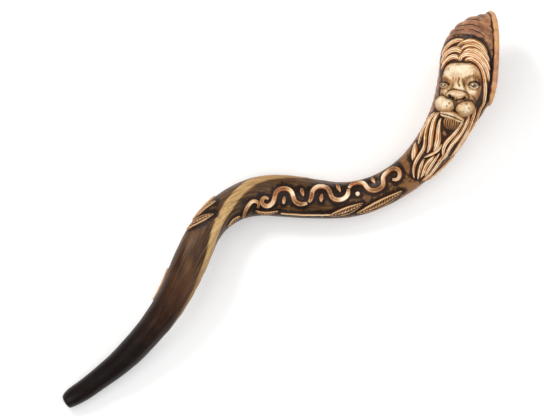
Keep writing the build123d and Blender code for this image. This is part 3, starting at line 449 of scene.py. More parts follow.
def on_top(x, y):
    """The highest point of the skin over (x, y), and its normal. Outside the outline, the nearest point of it."""
    hit = TREE.ray_cast(Vector((x, y, 400.0)), Vector((0, 0, -1)))
    if hit[0] is not None:
        return np.array(hit[0]), skin_normal(hit[0], hit[2])
    cost = (FLAT[:, 0] - x) ** 2 + (FLAT[:, 1] - y) ** 2 - 0.02 * FLAT[:, 2]
    i = int(np.argmin(cost))
    return FLAT[i].copy(), FLAT_N[i].copy()


def drop_to_skin(p, n):
    """Moves a point to the skin along the direction n."""
    hit = TREE.ray_cast(Vector(p + 6 * n), Vector(-n), 14.0)
    return np.array(hit[0]) if hit[0] is not None else p


# ---------------------------------------------------------------- making a piece
PIECES = {}


def make(name, verts, faces, slot, nodes, attributes=None, offset_ok=True):
    mesh = bpy.data.meshes.new(name)
    mesh.from_pydata([tuple(v) for v in np.asarray(verts) * MM], [], [tuple(map(int, f)) for f in faces])
    mesh.validate()
    mesh.update()
    for key, values in (attributes or {}).items():
        values = np.asarray(values, np.float32)
        if values.ndim == 2:
            mesh.attributes.new(key, "FLOAT_VECTOR", "POINT").data.foreach_set("vector", values.ravel())
        else:
            mesh.attributes.new(key, "FLOAT", "POINT").data.foreach_set("value", values)
    mesh.polygons.foreach_set("use_smooth", [True] * len(mesh.polygons))
    piece = bpy.data.objects.new(name, mesh)
    bpy.context.scene.collection.objects.link(piece)
    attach(piece, "root")
    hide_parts(*nodes)
    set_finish(piece, slot)
    PIECES[name] = piece
    return piece


def strip(rings, wrap_rings=False):
    """Points and faces of a closed tube of rings of points, its ends closed with fans."""
    rings = np.asarray(rings, float)
    n, m = rings.shape[:2]
    verts = [tuple(p) for p in rings.reshape(-1, 3)]
    faces = []
    for i in range(n if wrap_rings else n - 1):
        j = (i + 1) % n
        for k in range(m):
            l = (k + 1) % m
            faces.append((i * m + k, i * m + l, j * m + l, j * m + k))
    if not wrap_rings:
        for i, flip in ((0, True), (n - 1, False)):
            verts.append(tuple(rings[i].mean(axis=0)))
            c = len(verts) - 1
            for k in range(m):
                l = (k + 1) % m
                faces.append((i * m + l, i * m + k, c) if flip else (i * m + k, i * m + l, c))
    return np.array(verts), faces


def sections(line, widths, lookup, pitch=1.3, most=90, least=18):
    """Closely spaced sections of a piece laid along a line: point, normal, way along, half width, share, length."""
    line = np.array(line, float)
    chord = np.concatenate([[0], np.cumsum(np.linalg.norm(np.diff(line, axis=0), axis=1))])
    path = natural_spline(chord, line)
    spots = [lookup(*p) for p in path(np.linspace(0, chord[-1], 80))]
    long = np.concatenate([[0], np.cumsum([np.linalg.norm(b[0] - a[0]) for a, b in zip(spots, spots[1:])])])
    count = int(min(max(round(long[-1] / pitch), least), most)) + 1
    share = np.linspace(0, 1, count)
    share = share + 0.045 * np.sin(2 * math.pi * share) * -1  # closer together at both ends
    t = np.interp(long[-1] * share, long, np.linspace(0, chord[-1], 80))
    found = [lookup(*p) for p in path(t)]
    here, out = np.array([f[0] for f in found]), np.array([f[1] for f in found])
    kernel = np.array([1, 2, 3, 2, 1.0]) / 9
    for k in range(2):
        for arr in (here, out):
            padded = np.vstack([2 * arr[0] - arr[2], 2 * arr[0] - arr[1], arr, 2 * arr[-1] - arr[-2], 2 * arr[-1] - arr[-3]])
            arr[1:-1] = sum(w * padded[i : i + count] for i, w in enumerate(kernel))[1:-1]
    along = np.gradient(here, axis=0)
    along /= np.linalg.norm(along, axis=1)[:, None]
    out -= (out * along).sum(axis=1)[:, None] * along
    out /= np.linalg.norm(out, axis=1)[:, None]
    smooth = natural_spline(chord, np.array(widths, float)[:, None])
    half = np.clip(smooth(t)[:, 0], min(widths) * 0.8, max(widths) * 1.05)
    return here, out, along, half, share, long[-1]


def laid_piece(name, data, lookup, profile, slot, across=15, pitch=1.3, most=90, sink=SINK, extra=None):
    """A clay piece pressed on the skin along a line. profile(s, share, half, height, length) gives its height over
    the skin at the cross places s from -1 to 1, and a dictionary of paint values there."""
    line, widths, height = data
    here, out, along, half, share, length = sections(line, widths, lookup, pitch, most)
    s = np.sin(np.linspace(-1, 1, across) * math.pi / 2)
    low = np.linspace(0.75, -0.75, 4)
    rings, paint = [], {}
    for i in range(len(here)):
        side = np.cross(out[i], along[i])
        h, marks = profile(s, share[i], half[i], height, length)
        base = [drop_to_skin(here[i] + side * half[i] * q, out[i]) for q in s]
        ring = [b + out[i] * k for b, k in zip(base, h)]
        ring += [drop_to_skin(here[i] + side * half[i] * q, out[i]) - out[i] * sink for q in low]
        rings.append(ring)
        for key, v in marks.items():
            v = np.broadcast_to(v, s.shape)
            paint.setdefault(key, []).append(np.concatenate([v, np.full(4, v[-1])]))
    verts, faces = strip(rings)
    attributes = {}
    for key, rows in paint.items():
        rows = np.array(rows)
        attributes[key] = np.concatenate([rows.ravel(), [rows[0].mean(), rows[-1].mean()]])
    fibre = np.array([[(q + 1) * half[i], share[i] * length, 0] for i in range(len(here)) for q in list(s) + list(low)])
    attributes["fibre"] = np.vstack([fibre, fibre[:1], fibre[-1:]]) * 0.1
    if extra:
        verts, attributes = extra(verts, attributes)
    return make(name, verts, faces, slot, [name], attributes)


# ---------------------------------------------------------------- places seen from above
def at(px, py):
    return (px - 280) * 1.35 + 0.235, (210 - py) * 1.35 - 0.157


def far(x, y, line):
    """Distance of points (x, y) from a line of points, and the share along it."""
    best, where = np.full(np.shape(x), 1e9), np.zeros(np.shape(x))
    pts = [np.array(at(*p)) for p in line]
    for k, (a, b) in enumerate(zip(pts, pts[1:])):
        d = b - a
        t = np.clip(((x - a[0]) * d[0] + (y - a[1]) * d[1]) / (d @ d), 0, 1)
        dist = np.hypot(x - a[0] - t * d[0], y - a[1] - t * d[1])
        where = np.where(dist < best, (k + t) / (len(pts) - 1), where)
        best = np.minimum(best, dist)
    return best, where


def spot(x, y, px, py, r):
    cx, cy = at(px, py)
    return np.exp(-(((x - cx) ** 2 + (y - cy) ** 2) / (2 * (r * 1.35) ** 2)))


HOOD_RIBS = [
    [(444.5, 40.2), (446.7, 35.9), (453.2, 31.6), (461.9, 29.9), (464.6, 29.9)],
    [(445.4, 34.2), (448.3, 31), (454.3, 28.3), (459.7, 25.9), (467.3, 25), (471, 25), (477, 26.7), (483, 30.2)],
    [(447.9, 29.6), (452.8, 25.4), (459.7, 21.8), (464, 20.4), (470, 19.4), (477, 20.2), (484, 22.4)],
    [(455.5, 20.8), (462, 17.2), (470, 15.6), (478, 15.9), (486, 17.6)],
    [(448.5, 38.5), (455, 35.4), (463, 34.6), (471, 35.8), (478, 38.6), (484.6, 43.4)],
    [(466, 29.8), (473, 30.6), (480, 34.2), (486, 39.6)],
]
HOOD_NICKS = [
    [(484.6, 31), (491.2, 33)], [(484, 35), (491.4, 37)], [(486, 39), (491.6, 41)], [(486, 44.5), (491.2, 46)],
    [(487.5, 50), (491, 51)], [(488, 26.5), (491, 27.5)],
]
CROWN_LINE = [(444.4, 47.6), (447.5, 42.4), (451, 40.8), (457.5, 39.1), (463, 39.7), (471, 40), (476.5, 41.9), (482, 46.2), (484.6, 49.4), (486.2, 52.7), (487.9, 57), (490, 63.5), (490.6, 70)]
RIM_GROOVE = [(490, 13), (491.4, 18.6), (491.4, 26.7), (492.8, 32), (493.3, 37.5), (493.3, 45.7), (492.8, 53.8), (492.2, 62), (491.1, 68.6), (490.6, 76.7), (489.5, 82), (487.9, 87.5), (486.8, 93), (485.7, 101), (483.5, 106.5), (480.3, 112), (479.2, 117), (476.5, 124), (468.9, 135.7), (464.4, 143.4), (457.4, 154.2)]

# ---------------------------------------------------------------- clay profiles
def lock_profile(seed):
    def profile(s, share, half, height, length):
        strands = 1.0 if half < 1.6 else 2.0 if half < 3.4 else 3.0
        phase = 1.9 * noise1(share * 2.2 + seed * 3.7, seed) + 0.5 * seed
        ridge = 0.5 + 0.5 * np.cos(math.pi * strands * (s + 0.18 * np.sin(3.1 * share + seed)) + phase)
        ridge = ridge ** 0.8
        ends = np.clip(np.sin(math.pi * min(max(share, 0.0), 1.0)) * 2.6, 0.0, 1.0) ** 0.6
        dome = np.sqrt(np.clip(1 - s**2, 0, 1))
        h = (height * 1.22) * (0.30 + 0.70 * ends) * dome * (0.66 + 0.34 * ridge) - 0.5 * (1 - dome)
        h += 0.16 * noise1(share * length / 2.3 + s * 1.5 + seed * 9, seed + 4) * dome
        return h, {"high": np.clip((0.34 + 0.66 * ridge) * np.clip(1.25 * dome - 0.12, 0, 1) ** 0.8, 0, 1) * (0.62 + 0.38 * ends), "edge": np.clip((np.abs(s) - 0.45) / 0.5, 0, 1) ** 1.5}
    return profile


def ribbon_profile(s, share, half, height, length):
    flat = np.clip((1 - np.abs(s)) / 0.26, 0, 1) ** 0.6
    lip = np.exp(-(((np.abs(s) - 0.72) / 0.15) ** 2))
    wave = 0.30 * noise1(share * length / 5.5, 3)
    h = (height * 1.1 + wave) * flat + 0.34 * lip - 0.18 * np.exp(-((s / 0.35) ** 2)) - 0.4 * (1 - flat)
    h *= np.clip(np.sin(math.pi * min(max(share, 0.0), 1.0)) * 9, 0.25, 1)
    # painted light and shade: the ribbon is lighter where it seems to turn up and darker between, folds its shape does
    # not have
    turn = 0.5 + 0.5 * np.cos(share * length / 5.6 + 1.8 * noise1(share * length / 21.0, 7))
    return h, {"high": np.clip((0.10 + 0.80 * flat) * (0.46 + 0.54 * turn) - 0.16 * np.exp(-((s / 0.5) ** 2)), 0, 1), "edge": np.clip((np.abs(s) - 0.55) / 0.3, 0, 1)}


def leaf_profile(s, share, half, height, length):
    rim = np.exp(-(((np.abs(s) - 0.88) / 0.10) ** 2))
    mid = np.exp(-((s / 0.09) ** 2))
    beat = (share * length) / 4.4 - np.abs(s) * half / 4.6
    vein = np.exp(-(((beat - np.round(beat)) / 0.15) ** 2)) * np.clip(1.3 - np.abs(s), 0, 1) * (half > 1.5)
    body = np.clip((1 - np.abs(s)) / 0.16, 0, 1) ** 0.6
    h = height * (0.78 * body + 0.42 * rim * body + 0.34 * mid + 0.30 * vein) - 0.4 * (1 - body)
    return h, {"high": np.clip(0.16 + 0.75 * rim + 0.50 * vein + 0.45 * mid, 0, 1), "edge": np.clip(rim * 0.8, 0, 1)}


def stem_profile(s, share, half, height, length):
    dome = np.sqrt(np.clip(1 - s**2, 0, 1))
    h = height * dome * (0.85 + 0.25 * noise1(share * length / 4.0, 8)) - 0.3 * (1 - dome)
    h += 0.35 * height * np.exp(-(((share * length / 16.0) % 1 - 0.5) / 0.06) ** 2) * dome
    return h, {"high": np.clip(dome, 0, 1), "edge": np.abs(s) ** 2}


def dome_profile(s, share, half, height, length):
    dome = np.sqrt(np.clip(1 - s**2, 0, 1)) ** 0.8
    ends = np.clip(1 - (2 * min(max(share, 0.0), 1.0) - 1) ** 2, 0, 1) ** 0.5
    return height * dome * (0.28 + 0.72 * ends) - 0.4 * (1 - dome), {"high": np.clip(0.04 + 0.82 * (dome * ends) ** 0.85, 0, 1), "edge": 0.5 * np.abs(s) ** 4}


def lip_profile(s, share, half, height, length):
    dome = np.sqrt(np.clip(1 - s**2, 0, 1)) ** 0.7
    ends = np.clip(1 - (2 * min(max(share, 0.0), 1.0) - 1) ** 2, 0, 1) ** 0.4
    band = np.exp(-(((s + 0.02) / 0.10) ** 2))
    h = height * dome * (0.55 + 0.45 * ends) * (1 - 0.30 * band) - 0.4 * (1 - dome)
    return h, {"high": np.clip(0.05 + 0.66 * dome - 0.85 * band, 0, 1), "edge": np.abs(s) ** 3}


def tuft_profile(s, share, half, height, length):
    dome = np.sqrt(np.clip(1 - s**2, 0, 1)) ** 0.8
    ridge = 0.5 + 0.5 * np.cos(math.pi * 6.5 * (s * (1 + 0.25 * share)) + 0.9)
    ends = np.clip(1 - (2 * min(max(share, 0.0), 1.0) - 0.75) ** 2, 0, 1) ** 0.5
    h = height * dome * ends * (0.72 + 0.34 * ridge) - 0.4 * (1 - dome)
    h += 0.3 * noise1(share * length / 1.9 + s * 6, 6) * dome
    return h, {"high": np.clip(0.05 + 0.8 * ridge**1.4 * (1 - 0.5 * share), 0, 1), "edge": np.abs(s) ** 3}


def carve_nose(verts, attributes):
    x, y = verts[:, 0], verts[:, 1]
    left = np.exp(-((far(x, y, [(448.4, 96.4), (450.2, 98.2), (452.2, 98.6)])[0] / 2.0) ** 2))
    right = np.exp(-((far(x, y, [(458.0, 101.2), (460.4, 100.6), (463.6, 98.2)])[0] / 2.1) ** 2))
    below = np.clip((at(0, 97.6)[1] - y - 0.10 * (x - 236)) / 5.0, 0, 1)
    groove = np.exp(-((far(x, y, [(455.6, 98.4), (455.2, 104.4)])[0] / 0.8) ** 2))
    ledge = np.exp(-((far(x, y, [(447.4, 95.2), (451.5, 96.0), (456, 97.6), (461.5, 96.8), (466.4, 95.4)])[0] / 0.9) ** 2))
    verts[:, 2] -= np.where(verts[:, 2] > verts[:, 2].min() + 3, 4.2 * left + 4.2 * right + 1.2 * groove + 0.6 * ledge + 2.2 * below, 0)
    # painted shade: the nostrils, the groove under the nose, the ledge and the nose's lower side are darkened as well
    # as cut in
    high = attributes["high"]
    attributes["high"] = np.clip(high * (1 - 1.0 * left) * (1 - 1.0 * right) * (1 - 0.6 * groove) * (1 - 0.25 * ledge) * (1 - 0.45 * below), 0, 1)
    return verts, attributes


def carve_muzzle(dots):
    def carve(verts, attributes):
        x, y = verts[:, 0], verts[:, 1]
        under = np.exp(-((far(x, y, NOSE_PATH)[0] / 3.9) ** 2))
        verts[:, 2] -= 5.2 * under
        # painted shade: the pads are darkened under the nose and towards their lower edge
        attributes["high"] = attributes["high"] * (1 - 0.60 * under) * (0.92 - 0.16 * np.clip((at(0, 107)[1] - y) / 7.0, 0, 1))
        for px, py in dots:
            pit = spot(x, y, px, py, 0.48)
            verts[:, 2] -= 0.6 * pit
            attributes["high"] = np.clip(attributes["high"] * (1 - 0.9 * pit), 0, 1)
        return verts, attributes
    return carve


# ---------------------------------------------------------------- relief
for k, (name, data) in enumerate(LOCKS.items()):
    data = (data[0], [v * (1.26 if name.startswith("crown") else 1.14) for v in data[1]], data[2])
    laid_piece(name, data, on_top, lock_profile(k + 1), "mane_clay", across=19, pitch=1.5)
for name, data in RIBBONS.items():
    if name == "tendril_curl":
        laid_piece(name, data, on_top, ribbon_profile, "leaf_clay", across=13, pitch=1.0)
    else:
        laid_piece(name, data, on_top, ribbon_profile, "ribbon_clay", across=15, pitch=1.1, most=130)
for name, data in LEAVES.items():
    plain = name in ("vine_front",)
    laid_piece(name, data, on_top, stem_profile if plain else leaf_profile, "leaf_clay", across=13 if plain else 25, pitch=0.8)
for k, (name, data) in enumerate(BACK.items()):
    if name.startswith("back_mane"):
        laid_piece(name, data, round_skin, lock_profile(40 + k), "mane_clay", across=19, pitch=1.5)
    else:
        laid_piece(name, data, round_skin, stem_profile if name == "back_vine" else leaf_profile, "leaf_clay", across=13 if name == "back_vine" else 25, pitch=0.9)
NOSE_PATH = [(446.4, 96.6), (450.5, 96.0), (456.7, 96.8), (462.5, 97.8), (466.6, 98.7)]
FACE["nose"] = (FACE["nose"][0], [v * 1.06 for v in FACE["nose"][1]], 11.6)
FACE["muzzle_left"] = (FACE["muzzle_left"][0], [v * 1.20 for v in FACE["muzzle_left"][1]], 7.6)
FACE["muzzle_right"] = (FACE["muzzle_right"][0], [v * 1.20 for v in FACE["muzzle_right"][1]], 8.4)
FACE["lower_lip"] = (FACE["lower_lip"][0], [3.6, 5.4, 6.2, 5.9, 3.4], 6.2)
FACE["chin_tuft"] = (FACE["chin_tuft"][0], [v * 1.30 for v in FACE["chin_tuft"][1]], 6.2)
EXTRA = {"nose": carve_nose, "muzzle_left": carve_muzzle([(448.3, 103.9), (445.8, 106.8)]),
         "muzzle_right": carve_muzzle([(465.7, 104.3), (467.8, 108.7)])}
for name, data in FACE.items():
    profile = {"lower_lip": lip_profile, "chin_tuft": tuft_profile}.get(name, dome_profile)
    laid_piece(name, data, on_top, profile, "face_clay", across=33, pitch=0.6, extra=EXTRA.get(name))


# ---------------------------------------------------------------- the face
EYES = [(221.5, 167.0, 3.9, 3.75, 2.5, 2.1, 0.5), (260.5, 167.0, 4.6, 4.5, 3.1, 2.5, 0.5)]
CREASE = [(458.8, 79.0), (457.7, 83.2), (458.9, 86.6)]
CREASE_2 = [(455.6, 80.2), (455.9, 84.0)]
LID_L = [(439.9, 86.9), (441.3, 84.0), (444, 82.3), (447.0, 83.7), (448.6, 86.4)]
LID_L2 = [(440.6, 88.2), (444.2, 89.4), (448.0, 88.0)]
LID_R = [(466.5, 86.9), (468.6, 83.2), (472.2, 81.3), (476.0, 83.2), (479.3, 87.9)]
LID_R2 = [(467.6, 88.6), (472.4, 90.6), (478.4, 89.7)]
BROW_L = [(439.4, 79.2), (443.2, 76.8), (449.6, 78.2), (452.6, 81.8)]
BROW_R = [(461.8, 79.6), (466.0, 75.4), (472.0, 73.8), (478.6, 77.6)]
SOCKET_L = [(440.4, 80.6), (444.8, 79.6), (449.6, 81.6), (451.2, 86)]
SOCKET_R = [(463.8, 85.0), (465.2, 79.6), (471, 77.4), (477.6, 79.4), (480.2, 83.8)]
BRIDGE_L = [(453.4, 79.5), (452.6, 86.5), (449.6, 91.4)]
BRIDGE_R = [(461.8, 80.0), (463.2, 87.5), (465.8, 93.0)]
CHEEK_R = [(467.6, 94.2), (472.6, 98.2), (476.2, 104.6)]


def build_mask():
    rows, cols = 170, 150
    beside = [v.co for name, o in PIECES.items() for v in o.data.vertices if name != "face_mask"]
    close = kdtree.KDTree(len(beside))
    for i, co in enumerate(beside):
        close.insert(co, i)
    close.balance()
    ys = np.array([m[0] for m in MASK])[::-1]
    x0s, x1s = np.array([m[1] for m in MASK])[::-1], np.array([m[2] for m in MASK])[::-1]
    shape = natural_spline(ys, np.column_stack([x0s, x1s]))
    y_rows = np.linspace(MASK[0][0], MASK[-1][0], rows)
    top, base, high, edge = [], [], [], []
    for y in y_rows:
        x0, x1 = shape(y)[0]
        near_end = min((MASK[0][0] - y) / 5.0, (y - MASK[-1][0]) / 5.0, 1.0)
        share = np.sin(np.linspace(-1, 1, cols) * math.pi / 2 * 0.96) / math.sin(math.pi / 2 * 0.96)
        x = (x0 + x1) / 2 + share * (x1 - x0) / 2
        skin = np.array([on_top(a, y)[0] for a in x])
        up = np.array([on_top(a, y)[1] for a in x])
        h = MASK_LIFT * (1 - np.abs(share) ** 3) + 0.5
        for bx, by, sx, sy, lift in BUMPS:
            h = h + lift * np.exp(-(((x - bx) / sx) ** 2) / 2 - ((y - by) / sy) ** 2 / 2) * (1 - np.abs(share) ** 4)
        yy = np.full(cols, y)

        def line(path, size, depth):
            return depth * np.exp(-((far(x, yy, path)[0] / size) ** 2))

        # painted shade: dark gathers shading in the crease between the brows, the eye sockets, beside the nose bridge,
        # on the right cheek and under the nose
        dark = line(CREASE, 1.0, 0.62) + line(CREASE_2, 0.9, 0.25) + line(SOCKET_L, 3.4, 0.34) + line(SOCKET_R, 4.2, 0.46)
        dark = dark + line(BRIDGE_L, 1.7, 0.32) + line(BRIDGE_R, 1.7, 0.42) + line(CHEEK_R, 1.6, 0.35) + line([(455.4, 99.5), (455.3, 108.0)], 1.7, 0.50)
        lid = 0.0 * x
        eye = 0.0 * x
        brow = line(BROW_L, 2.0, 1.0) + line(BROW_R, 2.2, 1.0)
        h = h - 1.1 * line(CREASE, 1.0, 1.0) - 0.6 * line(CREASE_2, 0.9, 1) - 1.2 * line(SOCKET_L, 2.1, 1.0) - 1.5 * line(SOCKET_R, 2.4, 1.0)
        h = h + 1.5 * lid + 0.5 * brow - 0.7 * line(BRIDGE_L, 1.4, 1) - 0.8 * line(BRIDGE_R, 1.4, 1) - 0.5 * line(CHEEK_R, 1.3, 1)
        fur = noise2(x / 1.5, yy / 5.0, 2) * 0.5 + noise2(x / 3.4, yy / 6.5, 5) * 0.5
        h = h + 0.20 * fur * (1 - lid)
        h = np.maximum(h, 0.35)
        rim = np.clip((1 - np.abs(share)) / 0.05, 0, 1) ** 0.5 * max(min(near_end * 1.0 + 0.02, 1), 0) ** 0.5
        h = h * rim - 0.7 * (1 - rim)
        for ex0, ey0, r, a, bu, bl, stand in EYES:
            ex, ey = x - ex0, yy - ey0
            d = np.hypot(ex * 0.82, ey * 1.12)
            cap = np.where(d < r + 0.6, stand + np.sqrt(np.clip((r + 0.6) ** 2 - d**2, 0, None)), 0)
            arch = np.clip(1 - (ex / a) ** 2, 0, 1)
            inside = np.clip(np.minimum(bu * arch**0.8 - ey, ey + bl * arch) / 0.45 + 0.5, 0, 1) * (np.abs(ex) < a)
            near_cap = np.clip((r + 0.6 - d) / 0.5, 0, 1)
            h = np.where(near_cap > 0, np.maximum(h, cap), h) * (1 - inside) + 0.2 * inside
            lip = np.exp(-((np.minimum(np.abs(bu * arch**0.8 - ey), np.abs(ey + bl * arch)) / 0.55) ** 2)) * (np.abs(ex) < a * 1.1)
            lid = np.clip(lid + 1.2 * lip * (1 - inside), 0, 1.6)
            # painted shade round each eye, stronger above it, and inside the eye opening
            dark = dark + np.where(ey > 0, 0.66, 0.34) * np.exp(-(((d - r - 1.2) / 1.7) ** 2)) * (1 - np.clip(lip, 0, 1)) + 0.6 * inside
        top.append(skin + up * h[:, None])
        base.append(skin - up * 1.4)
        high.append(np.clip(0.76 - 0.26 * np.clip(np.abs(share) - 0.5, 0, 1) + 0.12 * fur + 0.3 * lid + 0.07 * brow - 0.72 * dark - 0.10 * np.clip((at(0, 92)[1] - yy) / 14.0, 0, 1) - 0.12 * np.clip((np.abs(share) - 0.5) / 0.4, 0, 1) * (yy < at(0, 76)[1]) - 0.55 * np.clip(eye - 0.25, 0, 1) * (1 - np.clip(lid, 0, 1)), 0, 1) * (0.45 + 0.55 * rim))
        edge.append(np.clip((np.abs(share) - 0.72) / 0.28, 0, 1) ** 1.5)
    top, base = np.array(top), np.array(base)
    verts = np.vstack([top.reshape(-1, 3), base.reshape(-1, 3)])
    n = rows * cols
    faces = []
    for i in range(rows - 1):
        for k in range(cols - 1):
            a = i * cols + k
            faces.append((a, a + cols, a + cols + 1, a + 1))
            faces.append((n + a, n + a + 1, n + a + cols + 1, n + a + cols))
    for i in range(rows - 1):
        a, b = i * cols, i * cols + cols - 1
        faces.append((a, n + a, n + a + cols, a + cols))
        faces.append((b, b + cols, n + b + cols, n + b))
    for k in range(cols - 1):
        a, b = k, (rows - 1) * cols + k
        faces.append((a, a + 1, n + a + 1, n + a))
        faces.append((b, n + b, n + b + 1, b + 1))
    high, edge = np.array(high).ravel(), np.array(edge).ravel()
    # painted shade: the face is darkened where it meets the nose, muzzle, lip, locks and other pieces
    gap = np.array([close.find(Vector(v * MM))[2] / MM for v in verts[:n]])
    high = high * (1 - 0.85 * np.exp(-((gap / 1.7) ** 2)))
    fibre = np.column_stack([verts[:, 0], verts[:, 1], verts[:, 2] * 0]) * 0.1
    # painted shade: the mask's underside and side walls are painted at a third of the top's lightness
    make("face_mask", verts, faces, "face_clay", ["face_mask"],
         {"high": np.concatenate([high, high * 0.3]), "edge": np.concatenate([edge, edge]), "fibre": fibre})


build_mask()


# ---------------------------------------------------------------- eyes and bead
def ball(name, slot, radius, centre, up, squash_, attributes):
    """A fine ball whose pole points along up."""
    up = np.array(up) / np.linalg.norm(up)
    side = np.cross(up, [0, 1.0, 0.2])
    side /= np.linalg.norm(side)
    other = np.cross(up, side)
    rings = []
    marks = {k: [] for k in attributes}
    for i in range(1, 30):
        a = math.pi * i / 30
        ring = []
        for k in range(40):
            t = 2 * math.pi * k / 40
            r = radius * (1 + 0.015 * math.sin(3 * t + 2 * a))
            ring.append(centre + up * r * math.cos(a) * squash_ + (side * math.cos(t) + other * math.sin(t)) * r * math.sin(a))
        rings.append(ring)
        for key, f in attributes.items():
            marks[key] += [f(a, 2 * math.pi * k / 40) for k in range(40)]
    verts, faces = strip(rings)
    for key, f in attributes.items():
        marks[key] += [f(0.0, 0.0), f(math.pi, 0.0)]
    fibre = (verts - centre) * 0.1
    return make(name, verts, faces, slot, [name], {**marks, "fibre": fibre})


for name, (x, y, radius, stand) in BALLS.items():
    here, n = on_top(x, y)
    centre = here + n * stand
    if name == "bead":
        ball(name, "ribbon_clay", radius, centre, n, 0.95,
             {"high": lambda a, t: 1.0 - 0.75 * min(max((a - 1.0) / 0.7, 0), 1), "edge": lambda a, t: 0.3 * min(a, 1)})
    else:
        look = np.array([-0.06, -0.10, 1.0]) if name == "eye_left" else np.array([-0.14, -0.10, 1.0])
        radius = EYES[0][2] if name == "eye_left" else EYES[1][2]
        centre = here + n * EYES[0][6]
        ball(name, "eye", radius, centre, look, 1.0,
             {"high": lambda a, t: 0.04 if a < 0.30 else 0.36 if a < 0.58 else 0.06 if a < 0.70 else max(0.85 - 1.1 * max(a - 0.85, 0), 0.2),
              # painted highlight: 'edge' puts a small glint spot up and to the left of the pupil
              "edge": lambda a, t: 1.0 if math.hypot(a * math.cos(t) - 0.21, a * math.sin(t) + 0.21) < 0.17 else 0.0})


# ---------------------------------------------------------------- the horn: outer skin, rim, hollow, bore and cup
def horn_rings():
    u_out = spread(0, RINGS)
    rings, keel_near, along, turn, lit = [], [], [], [], []
    degrees = np.arange(SPOKES) * 360.0 / SPOKES
    for u in u_out:
        middle, wide, deep, normal, half, depth, keel, rise, _ = frame(u)
        x, y = outline(keel, rise, degrees)
        rings.append(middle + np.outer(x * half, wide) + np.outer(y * depth, deep))
        off = np.abs((np.radians(degrees) - math.radians(keel) + math.pi) % (2 * math.pi) - math.pi)
        keel_near.append(np.exp(-((off / 0.36) ** 2)) * min(rise / 0.06, 1.0))
        along.append(np.full(SPOKES, u / LENGTH))
        turn.append(degrees)
    rings = np.array(rings)
    down = np.gradient(rings, axis=0)
    round_ = (np.roll(rings, -1, axis=1) - np.roll(rings, 1, axis=1)) / 2
    normals = np.cross(round_, down)
    normals /= np.linalg.norm(normals, axis=2)[:, :, None]
    if ((normals * (rings - rings.mean(axis=1, keepdims=True))).sum(axis=2)).mean() < 0:
        normals = -normals
    u = u_out[:, None] * np.ones(SPOKES)[None, :]
    t = np.radians(np.array(turn))
    keel_near, along = np.array(keel_near), np.array(along)
    # long fibres that follow the horn, shallow growth waves, a rougher keel
    fibre = noise2(np.cos(t) * 9 + 40, np.sin(t) * 9 + u * 0.012, 1) * 0.55 + noise2(np.cos(t) * 19 + 80, np.sin(t) * 19 + u * 0.02, 2) * 0.45
    wave = np.sin(u / 5.1 + 2.2 * noise1(u / 60, 9)) * 0.5 + 0.5 * noise2(u / 16.0, np.cos(t) * 1.4, 3)
    fade = np.clip(u / 60.0, 0.15, 1.0)
    lift = 0.20 * fibre * fade + 0.16 * wave * fade + 0.35 * keel_near * noise2(u / 9.0, t * 3, 5) * fade
    hollow = np.zeros_like(lift)
    # bell: folds over the hood, a cut line under them and round the rim
    x, y, z = rings[:, :, 0], rings[:, :, 1], rings[:, :, 2]
    bell = (along > 0.72) & (normals[:, :, 2] > -0.15)
    hood = np.zeros_like(lift)
    for i, path in enumerate(HOOD_RIBS):
        d, w = far(x[bell], y[bell], path)
        ends = np.clip(np.sin(math.pi * np.clip(w, 0.04, 0.96)) * 2.2, 0, 1)
        hood[bell] -= 0.85 * np.exp(-((d / 0.95) ** 2)) * ends
        hood[bell] += 0.45 * np.exp(-(((d - 2.2) / 1.3) ** 2)) * ends
    for path in HOOD_NICKS:
        d, w = far(x[bell], y[bell], path)
        hood[bell] -= 0.5 * np.exp(-((d / 0.8) ** 2))
    cut = np.zeros_like(lift)
    cut[bell] += np.exp(-((far(x[bell], y[bell], CROWN_LINE)[0] / 1.7) ** 2)) * 0.9
    groove = np.zeros_like(lift)
    groove[bell] = np.exp(-((far(x[bell], y[bell], RIM_GROOVE)[0] / 1.75) ** 2))
    gy = np.array([at(0, p[1])[1] for p in RIM_GROOVE])[::-1]
    gx = np.array([at(p[0], 0)[0] for p in RIM_GROOVE])[::-1]
    band = np.clip((x - np.interp(y, gy, gx) - 0.8) / 1.6, 0, 1) * (y > gy[0] - 6) * (y < at(0, 70)[1]) * bell
    keel_near = np.maximum(keel_near, 0.95 * band)
    # the same fold lines, freely carried round to the side that rests on the floor
    under = (along > 0.74) & (normals[:, :, 2] <= 0.25)
    ring_fold = np.sin(u / 2.4 + 1.3 * noise2(np.cos(t) * 2, np.sin(t) * 2, 8)) ** 8
    hood -= np.where(under, 0.5 * ring_fold * np.clip((0.25 - normals[:, :, 2]) / 0.3, 0, 1) * np.clip((along - 0.74) / 0.05, 0, 1), 0)
    lift = lift + hood - 0.95 * cut - 1.1 * groove
    keep = np.clip(u / 4.0, 0, 1) * np.clip((LENGTH - u) / 2.0, 0, 1)
    low_side = np.clip((rings[:, :, 2] - 0.9) / 1.2, 0.0, 1.0)
    lift = np.where(lift < 0, lift, lift * low_side)
    outer = rings + normals * (lift * keep)[:, :, None]
    in_hood = np.clip((along - 0.80) / 0.03, 0, 1) * (1 - 0.9 * band)
    paint = {"cutline": np.clip(np.clip(-hood, 0, 1) * 1.0 + cut * 1.0 + groove * 1.05, 0, 1), "hood": in_hood,
             "keel": keel_near, "along": along, "inside": np.zeros_like(along), "theta": t, "u": u, "down": normals[:, :, 2]}
    return outer, normals, paint, degrees


